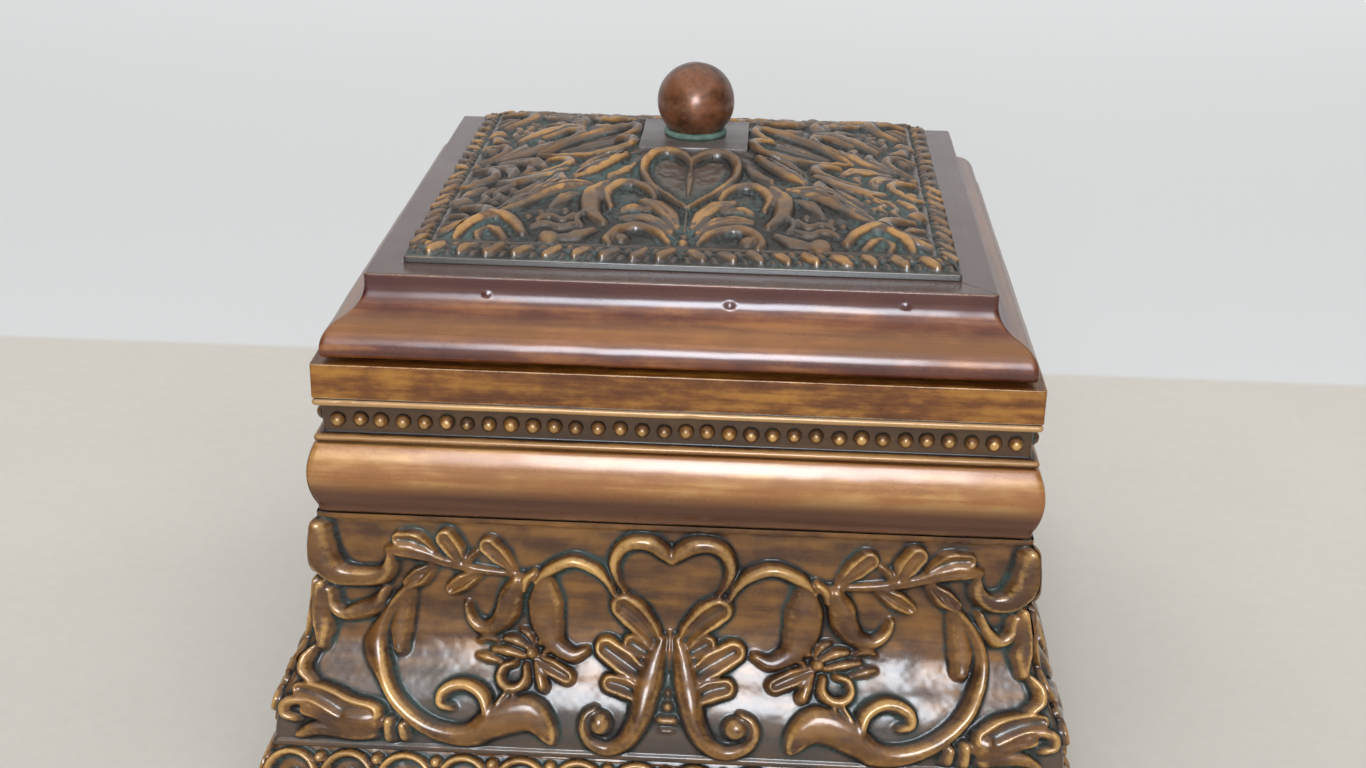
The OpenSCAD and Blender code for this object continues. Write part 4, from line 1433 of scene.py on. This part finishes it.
@dataclass(frozen=True)
class CarvedTop:
    """The low hip with its border and ornament, one relief on each slope."""

    depth: float = 3.0
    broad: float = 1.25
    waver: float = 0.4
    border_w: float = 7.0
    border_in: float = 4.0
    border_pitch: float = 9.2
    border_end: float = 85.5
    leaf_w: float = 7.0
    leaf_h: float = 2.4
    rib_deep: float = 0.5
    rib_w: float = 0.35
    line_h: float = 0.9
    line_in: float = 8.4
    hip_h: float = 0.8
    ground_h: float = 0.16

    def border(self, face: Face, inward: Array) -> Array:
        """The border of slanted leaves with two beads between each pair.

        Args:
            face: Points of the face.
            inward: Their distance in from the edge.

        Returns:
            The heights.
        """
        sway = 1.1 * lumps(face.along, inward, 6.5, 76)
        local = within(np.abs(face.along) + 0.8 * (inward - self.border_in) + sway, self.border_pitch)
        gap = self.border_pitch / 2 - np.abs(local)
        across = (inward - self.border_in) / (self.border_w / 2)
        width = self.leaf_w / 2 * np.clip(1 - across * across, 1e-3, 1)
        leaf_h = self.leaf_h + 0.5 * lumps(face.along, inward, 5, 77)
        leaf = leaf_h * dome(local / width) * (np.abs(across) < 1)
        leaf = leaf - self.rib_deep * np.exp(-((local / self.rib_w) ** 2)) * (leaf > 0.4)
        inner, outer = (h * dome(np.hypot(gap, inward - at) / r) for h, at, r in ((2.0, 5.6, 1.6), (1.6, 2.2, 1.2)))
        ends = 1 - smooth(self.border_end, self.border_end + 2, np.abs(face.along))
        return np.maximum.reduce([leaf, inner, outer]) * ends

    def relief(self, face: Face) -> Array:
        """Height of the border and the ornament on one slope.

        Args:
            face: Points of the face.

        Returns:
            The heights.
        """
        inward = SIZE.carved_r - face.radius
        aside = np.abs(face.along)
        u = aside + self.waver * face.lumps(15, 71) * smooth(2, 8, aside)
        v = inward + self.waver * face.lumps(13, 72)
        cut = blur(np.maximum(carve(TOP_STROKES, u, v, self.broad), self.border(face, inward)), 0.65, 0.65)
        line = self.line_h * (1 - smooth(0.5, 1.3, np.abs(inward - self.line_in)))
        edge = smooth(0.3, 1.2, inward)
        hip = self.hip_h * (1 - smooth(0.0, 1.6, face.radius - aside)) * smooth(10, 14, inward)
        rough = 0.16 * face.lumps(3.5, 73) + 0.10 * face.lumps(1.6, 74)
        knobbly = 0.22 * face.lumps(2.6, 75) * smooth(0.6, 2.0, cut)
        return np.maximum.reduce([cut + knobbly, line, hip]) * edge + (rough + self.ground_h) * edge

    def build(self, material: bpy.types.Material) -> None:
        """Builds and dresses the four slopes.

        Args:
            material: The carved bronze.
        """
        s = SIZE
        chain = np.array([[s.knob_plinth_r, s.hip_top_z], [s.carved_r, s.carved_z], [s.carved_r, s.lid_top_z]])
        run = Run(
            "carved_top", chain, ((s.knob_plinth_r, s.lid_top_z),), columns=330, step=0.5, softness=0.35, corner=0.6,
            wobble=0.0, seed=13, relief=self.relief, depth=self.depth,
        )
        whole = ("carved_top", "top_scrollwork")
        run.build().dress_sides(material, "lid", "antique_copper", "top_border", on_front=whole)


@dataclass(frozen=True)
class Knob:
    """Ball, collar and square plinth of the knob."""

    ball_r: float = 13.7
    ball_z: float = 219.7
    foot_z: float = 210.0
    uneven: float = 0.05
    bore_r: float = 2.8
    collar_r: float = 11.2
    collar_h: float = 2.2
    plinth_h: float = 2.2

    def build(self, ball: bpy.types.Material, collar: bpy.types.Material, plinth: bpy.types.Material) -> None:
        """Builds and dresses the three pieces.

        Args:
            ball: Finish of the ball.
            collar: Finish of the collar.
            plinth: Finish of the plinth.
        """
        r, z = SIZE.knob_plinth_r, SIZE.hip_top_z
        dress("knob_ball_turned", self.ball(), ball, "lid", "mahogany_copper", "knob_ball")
        dress("knob_collar_ring", self.ring(), collar, "lid", "verdigris_bronze", "knob_collar")
        shape = block((-r, -r, z), (r, r, z + self.plinth_h))
        round_edges(shape, shape.edges[:], 0.5, 3)
        dress("knob_plinth_block", to_mesh("plinth", shape), plinth, "lid", "antique_copper", "knob_plinth")

    def ball(self) -> bpy.types.Mesh:
        """Turns the ball, slightly uneven and flat where it meets the collar.

        Returns:
            Its mesh.
        """
        centre = Vector((0, 0, self.ball_z))
        shape = bmesh.new()
        place = Matrix.Translation(centre)
        bmesh.ops.create_uvsphere(shape, u_segments=96, v_segments=64, radius=self.ball_r, matrix=place)
        cut_off(shape, (0, 0, self.foot_z), (0, 0, -1))
        for vert in shape.verts:
            away = vert.co - centre
            swirl = math.sin(3 * math.atan2(away.y, away.x) + 5 * away.z / self.ball_r)
            if vert.co.z > self.foot_z + 0.01:
                vert.co -= away.normalized() * self.uneven * (1 + swirl)
        return to_mesh("ball", shape)

    def ring(self) -> bpy.types.Mesh:
        """Spins the collar.

        Returns:
            Its mesh.
        """
        base, rim = SIZE.hip_top_z + self.plinth_h, self.collar_h / 2
        top, round_r = base + self.collar_h, self.collar_r - rim
        line = [[self.bore_r, base], [round_r, base], *arc((round_r, base + rim), rim, -80, 80, 8)]
        line += [[round_r, top], [self.bore_r, top]]
        shape = bmesh.new()
        verts = [shape.verts.new((r, 0, z)) for r, z in line]
        edges = [shape.edges.new((verts[k - 1], verts[k])) for k in range(len(verts))]
        bmesh.ops.spin(
            shape, geom=verts + edges, cent=(0, 0, 0), axis=(0, 0, 1), angle=2 * math.pi, steps=96, use_merge=True
        )
        return to_mesh("collar", shape)


@dataclass(frozen=True)
class Linings:
    """Felt on the floor, the walls, the lid and under the base."""

    thick: float = 1.2
    top_z: float = 151.5
    hole_r: float = 8.2
    dip: float = 0.18

    def build(self, material: bpy.types.Material) -> None:
        """Builds and dresses the four pieces of felt.

        Args:
            material: The felt.
        """
        for name, body in (("floor_lining", "box"), ("base_felt", "box"), ("lid_lining", "lid")):
            low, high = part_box(name)
            mesh = self.sheet(low / MM, high / MM, name == "lid_lining")
            dress(f"{name}_felt", mesh, material, body, "felt", name)
        dress("wall_lining_felt", self.walls(), material, "box", "felt", "wall_lining")

    def walls(self) -> bpy.types.Mesh:
        """The felt of the four walls, which turns the corners in one piece.

        Returns:
            Its mesh.
        """
        r = SIZE.in_r
        shape = block((-r, -r, SIZE.board_top_z + self.thick), (r, r, self.top_z))
        ends = [f for f in shape.faces if abs(f.normal.z) > 0.5]
        bmesh.ops.delete(shape, geom=ends, context="FACES_ONLY")
        round_edges(shape, [e for e in shape.edges if abs(e.verts[0].co.z - e.verts[1].co.z) > 1], 0.5, 2)
        bmesh.ops.recalc_face_normals(shape, faces=shape.faces[:])
        bmesh.ops.solidify(shape, geom=shape.faces[:], thickness=self.thick)
        return to_mesh("wall_felt", shape, False)

    def sheet(self, low: Vector, high: Vector, bored: bool) -> bpy.types.Mesh:
        """A sheet of felt with a slightly uneven face.

        Args:
            low: Its lowest corner in millimetres.
            high: Its highest corner.
            bored: Whether it has the hole for the knob's washer.

        Returns:
            The mesh.
        """
        shape = bmesh.new()
        bmesh.ops.create_grid(shape, x_segments=60, y_segments=60, size=0.5)
        size = high - low
        bmesh.ops.scale(shape, vec=(size.x, size.y, 1), verts=shape.verts[:])
        bmesh.ops.translate(shape, vec=((low.x + high.x) / 2, (low.y + high.y) / 2, low.z), verts=shape.verts[:])
        if bored:
            near = [f for f in shape.faces if f.calc_center_median().xy.length < self.hole_r]
            bmesh.ops.delete(shape, geom=near, context="FACES")
        top = bmesh.ops.extrude_face_region(shape, geom=shape.faces[:])
        verts = [v for v in top["geom"] if isinstance(v, bmesh.types.BMVert)]
        bmesh.ops.translate(shape, vec=(0, 0, size.z), verts=verts)
        xy = np.array([v.co[:2] for v in verts])
        for vert, drop in zip(verts, self.dip * (lumps(xy[:, 0], xy[:, 1], 11, 81) - 1) / 2):
            vert.co.z += float(drop)
        return to_mesh("felt", shape)


@dataclass(frozen=True)
class Fittings:
    """Boards, lips, screws and the knob's fittings, which keep their solids."""

    boards: tuple[str, ...] = (
        "bottom_board", "lid_board", *(f"wall_board_{side}" for side in SIDES), *(f"lid_lip_{side}" for side in SIDES)
    )
    steel: tuple[str, ...] = ("bottom_screws", "knob_screw", "knob_washer")
    brass: tuple[str, ...] = ("knob_insert",)

    def build(self, nodes: dict[str, bpy.types.Object]) -> None:
        """Gives each node that keeps its solid a finish.

        Args:
            nodes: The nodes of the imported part.
        """
        plan = {
            self.boards: Board(),
            self.steel: PlainMetal("steel", (0.56, 0.56, 0.58)),
            self.brass: PlainMetal("brass", (0.78, 0.56, 0.24)),
        }
        for names, finish in plan.items():
            material = finish.material()
            for name in names:
                nodes[name].data.materials.clear()
                nodes[name].data.materials.append(material)
                LOG.info("%s keeps its solid", name)


@dataclass(frozen=True)
class View:
    """The photograph's camera."""

    place: Triple = (0.0262, -0.6485, 0.3798)
    yaw: float = -2.546
    pitch: float = 22.520
    roll: float = 1.1457
    focal_px: float = 1860.67
    width_px: int = 1366
    sensor: float = 36.0

    def build(self) -> None:
        """Makes the camera and gives it to the scene."""
        yaw, pitch, roll = (math.radians(a) for a in (self.yaw, self.pitch, self.roll))
        ahead = Vector((math.sin(yaw) * math.cos(pitch), math.cos(yaw) * math.cos(pitch), -math.sin(pitch)))
        right = Vector((math.cos(yaw), -math.sin(yaw), 0))
        up = right.cross(ahead)
        right, up = right * math.cos(roll) + up * math.sin(roll), up * math.cos(roll) - right * math.sin(roll)
        turn = Matrix((right, up, -ahead)).transposed().to_4x4()
        data = bpy.data.cameras.new("camera")
        data.sensor_width = self.sensor
        data.lens = self.sensor * self.focal_px / self.width_px
        data.clip_start = 0.01
        camera = bpy.data.objects.new("camera", data)
        camera.matrix_world = Matrix.Translation(self.place) @ turn
        bpy.context.scene.collection.objects.link(camera)
        bpy.context.scene.camera = camera


@dataclass(frozen=True)
class Lamp:
    """A soft lamp with its place, its aim, its width and height, its power and its colour."""

    name: str
    place: Triple
    aim: Triple
    size: tuple[float, float]
    watts: float
    colour: Colour

    def build(self) -> None:
        """Hangs the lamp."""
        data = bpy.data.lights.new(self.name, "AREA")
        data.shape = "RECTANGLE"
        data.size, data.size_y = self.size
        data.energy = self.watts
        data.color = self.colour
        lamp = bpy.data.objects.new(self.name, data)
        lamp.location = self.place
        lamp.rotation_euler = (Vector(self.aim) - Vector(self.place)).to_track_quat("-Z", "Y").to_euler()
        bpy.context.scene.collection.objects.link(lamp)


@dataclass(frozen=True)
class Studio:
    """Pale table, pale room and soft lamps."""

    table: Colour = (0.65, 0.615, 0.55)
    stain: Colour = (0.30, 0.28, 0.24)
    painted_light_towards_wall: float = 1.17
    wall: Colour = (0.66, 0.665, 0.66)
    glow: Colour = (0.13, 0.13, 0.13)
    far_glow: Colour = (0.46, 0.465, 0.47)
    wall_y: float = 0.30
    far_y: float = 2.4
    floor_r: float = 6.0
    front: Colour = (0.10, 0.10, 0.10)
    back: Colour = (0.60, 0.61, 0.63)
    ceiling: Colour = (0.30, 0.30, 0.31)
    lamps: tuple[Lamp, ...] = (
        Lamp("overhead", (0.0, 0.0, 1.8), (0, 0, 0.1), (3.6, 3.6), 27.0, (1.0, 0.985, 0.97)),
        Lamp("window", (-0.02, -2.3, 0.76), (0, 0, 0.15), (0.66, 0.80), 38.0, (0.78, 0.89, 1.0)),
        Lamp("fill", (0.2, -2.3, 1.40), (0, 0, 0.15), (3.2, 1.9), 26.0, (1.0, 0.98, 0.95)),
    )

    def build(self) -> None:
        """Builds the floor, the room and the lamps."""
        self.floor()
        self.room()
        for lamp in self.lamps:
            lamp.build()

    def floor(self) -> None:
        """A pale mottled floor with painted light that makes it paler towards the wall, where it turns to the paler
        wall colour behind the chest.
        """
        shape = bmesh.new()
        bmesh.ops.create_grid(shape, x_segments=1, y_segments=1, size=self.floor_r)
        mesh = bpy.data.meshes.new("floor")
        shape.to_mesh(mesh)
        shape.free()
        thing = show("floor", mesh)
        p = Paint("pale_floor")
        y = p.coords(False).axis("Y")
        cloud = p.noise(False, (9, 9, 9), 5.0, 0.6)
        grain = p.noise(False, (160, 160, 160), 4.0, 0.6)
        shade = (cloud * 0.5 + grain * 0.5).ramp(0.3, 0.75)
        # Painted light: the table is paler towards the wall.
        table = p.blend(y.ramp(-0.3, 0.3), self.table, tuple(self.painted_light_towards_wall * c for c in self.table))
        table = p.blend(shade * 0.1, table, self.stain)
        far = y.ramp(self.wall_y - 0.004, self.wall_y + 0.004)
        seen = p.node("ShaderNodeLightPath", {}, {}, "Is Camera Ray")
        glow = p.blend(y.ramp(self.wall_y, self.far_y), self.glow, self.far_glow)
        p.finish(
            Base_Color=p.blend(far, table, self.wall),
            Roughness=0.75,
            Normal=p.bump(grain, 0.0006, 0.3),
            Emission_Color=p.blend(far * seen, (0.0, 0.0, 0.0), glow),
            Emission_Strength=1.0,
        )
        mesh.materials.append(p.material)

    def room(self) -> None:
        """Room light: pale wall behind the chest, dimmer ceiling and sides."""
        world = bpy.data.worlds.new("room")
        world.use_nodes = True
        bpy.context.scene.world = world
        graph = Graph(world.node_tree)
        way = graph.node("ShaderNodeTexCoord", {}, {}, "Generated")
        colour = graph.blend(way.axis("Y").ramp(-0.1, 0.8), self.front, self.back)
        colour = graph.blend(way.axis("Z").ramp(0.2, 0.9), colour, self.ceiling)
        graph.feed(world.node_tree.nodes["Background"].inputs["Color"], colour)


BRONZE = CarvedBronze()
# Bronze of the top, with its own colour of painted shade for the hollows.
DUSKY_BRONZE = CarvedBronze(
    "dusky_bronze", crest=(0.140, 0.070, 0.030), worn=(0.46, 0.235, 0.070), body=(0.115, 0.078, 0.054),
    ground=(0.082, 0.066, 0.056), painted_shade=(0.028, 0.024, 0.021), verdigris=(0.105, 0.145, 0.135), green=0.85,
    metal=0.15, patchy=0.85,
)
TORUS_COPPER = StreakedLacquer(
    "torus_copper", dark=(0.24, 0.088, 0.022), mid=(0.44, 0.195, 0.056), gold=(0.54, 0.33, 0.12), gilding=0.6,
    # The band paints shade on the lower half of the torus.
    painted_light_bands=(Band(0.0172, 0.0300, (0.065, 0.018, 0.005), 0.95, 0.004),),
)
FASCIA_GILT = StreakedLacquer(
    "fascia_gilt", dark=(0.085, 0.025, 0.006), mid=(0.285, 0.098, 0.014), gold=(0.40, 0.20, 0.035), gilding=0.6,
    coat=0.5, cloud=2.4,
    painted_light_bands=(
        # Painted highlight on the upper roll.
        Band(0.0262, 0.0305, (0.50, 0.290, 0.120), 0.7, 0.0008),
        # Painted highlight on the lower roll.
        Band(0.0420, 0.0445, (0.38, 0.200, 0.070), 0.7, 0.0008),
        # Painted shade in the channel behind the beads.
        Band(0.0312, 0.0418, (0.045, 0.026, 0.014), 0.85),
        # Painted shade under the lower roll.
        Band(0.0450, 0.0520, (0.045, 0.020, 0.010), 0.9),
    ),
)
LID_MAHOGANY = StreakedLacquer(
    "lid_mahogany",
    painted_light_bands=(
        # Painted shade on the arris and the top of the cove.
        Band(0.0112, 0.0185, (0.055, 0.010, 0.008), 0.85, 0.0014),
        # Painted light on the upward-facing swell of the cove.
        Band(0.0245, 0.0330, (0.35, 0.155, 0.046), 0.45, 0.003),
        # The flat top is painted grey-brown: the lacquer's tone with a painted sheen.
        Band(-1.0, 0.0112, (0.125, 0.076, 0.063), 0.95, 0.0003),
    ),
)
KNOB_FINISHES = (
    TurnedLacquer("knob_lacquer", (0.030, 0.011, 0.007), (0.250, 0.090, 0.036), metal=0.5, rough=0.36, coat=0.7),
    TurnedLacquer("collar_verdigris", (0.06, 0.11, 0.085), (0.16, 0.24, 0.19), metal=0.0, rough=0.5, coat=0.1),
    TurnedLacquer("plinth_lacquer", (0.10, 0.082, 0.075), (0.185, 0.155, 0.14), metal=0.2, rough=0.36, coat=0.5),
)


def main() -> None:
    """Builds the chest piece by piece."""
    logging.basicConfig(level=logging.INFO, format="%(name)s: %(message)s")
    bpy.context.scene.view_settings.view_transform = "Standard"
    bronze = BRONZE.material()
    CarvedSides().build(bronze)
    EggAndDartBase().build(bronze)
    RimMouldings().build(TORUS_COPPER.material(), FASCIA_GILT.material(), bronze)
    LidMoulding().build(LID_MAHOGANY.material())
    CarvedTop().build(DUSKY_BRONZE.material())
    Knob().build(*(finish.material() for finish in KNOB_FINISHES))
    Linings().build(Felt().material())
    Fittings().build(frame["nodes"])
    Studio().build()
    View().build()


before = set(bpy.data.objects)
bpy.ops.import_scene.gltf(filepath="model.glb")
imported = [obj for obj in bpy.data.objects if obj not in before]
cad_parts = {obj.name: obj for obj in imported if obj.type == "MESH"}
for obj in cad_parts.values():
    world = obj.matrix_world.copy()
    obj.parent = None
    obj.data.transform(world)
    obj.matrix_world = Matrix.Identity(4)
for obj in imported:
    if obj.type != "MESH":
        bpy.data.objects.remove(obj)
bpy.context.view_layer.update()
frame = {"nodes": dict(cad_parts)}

if __name__ == "__main__":
    main()
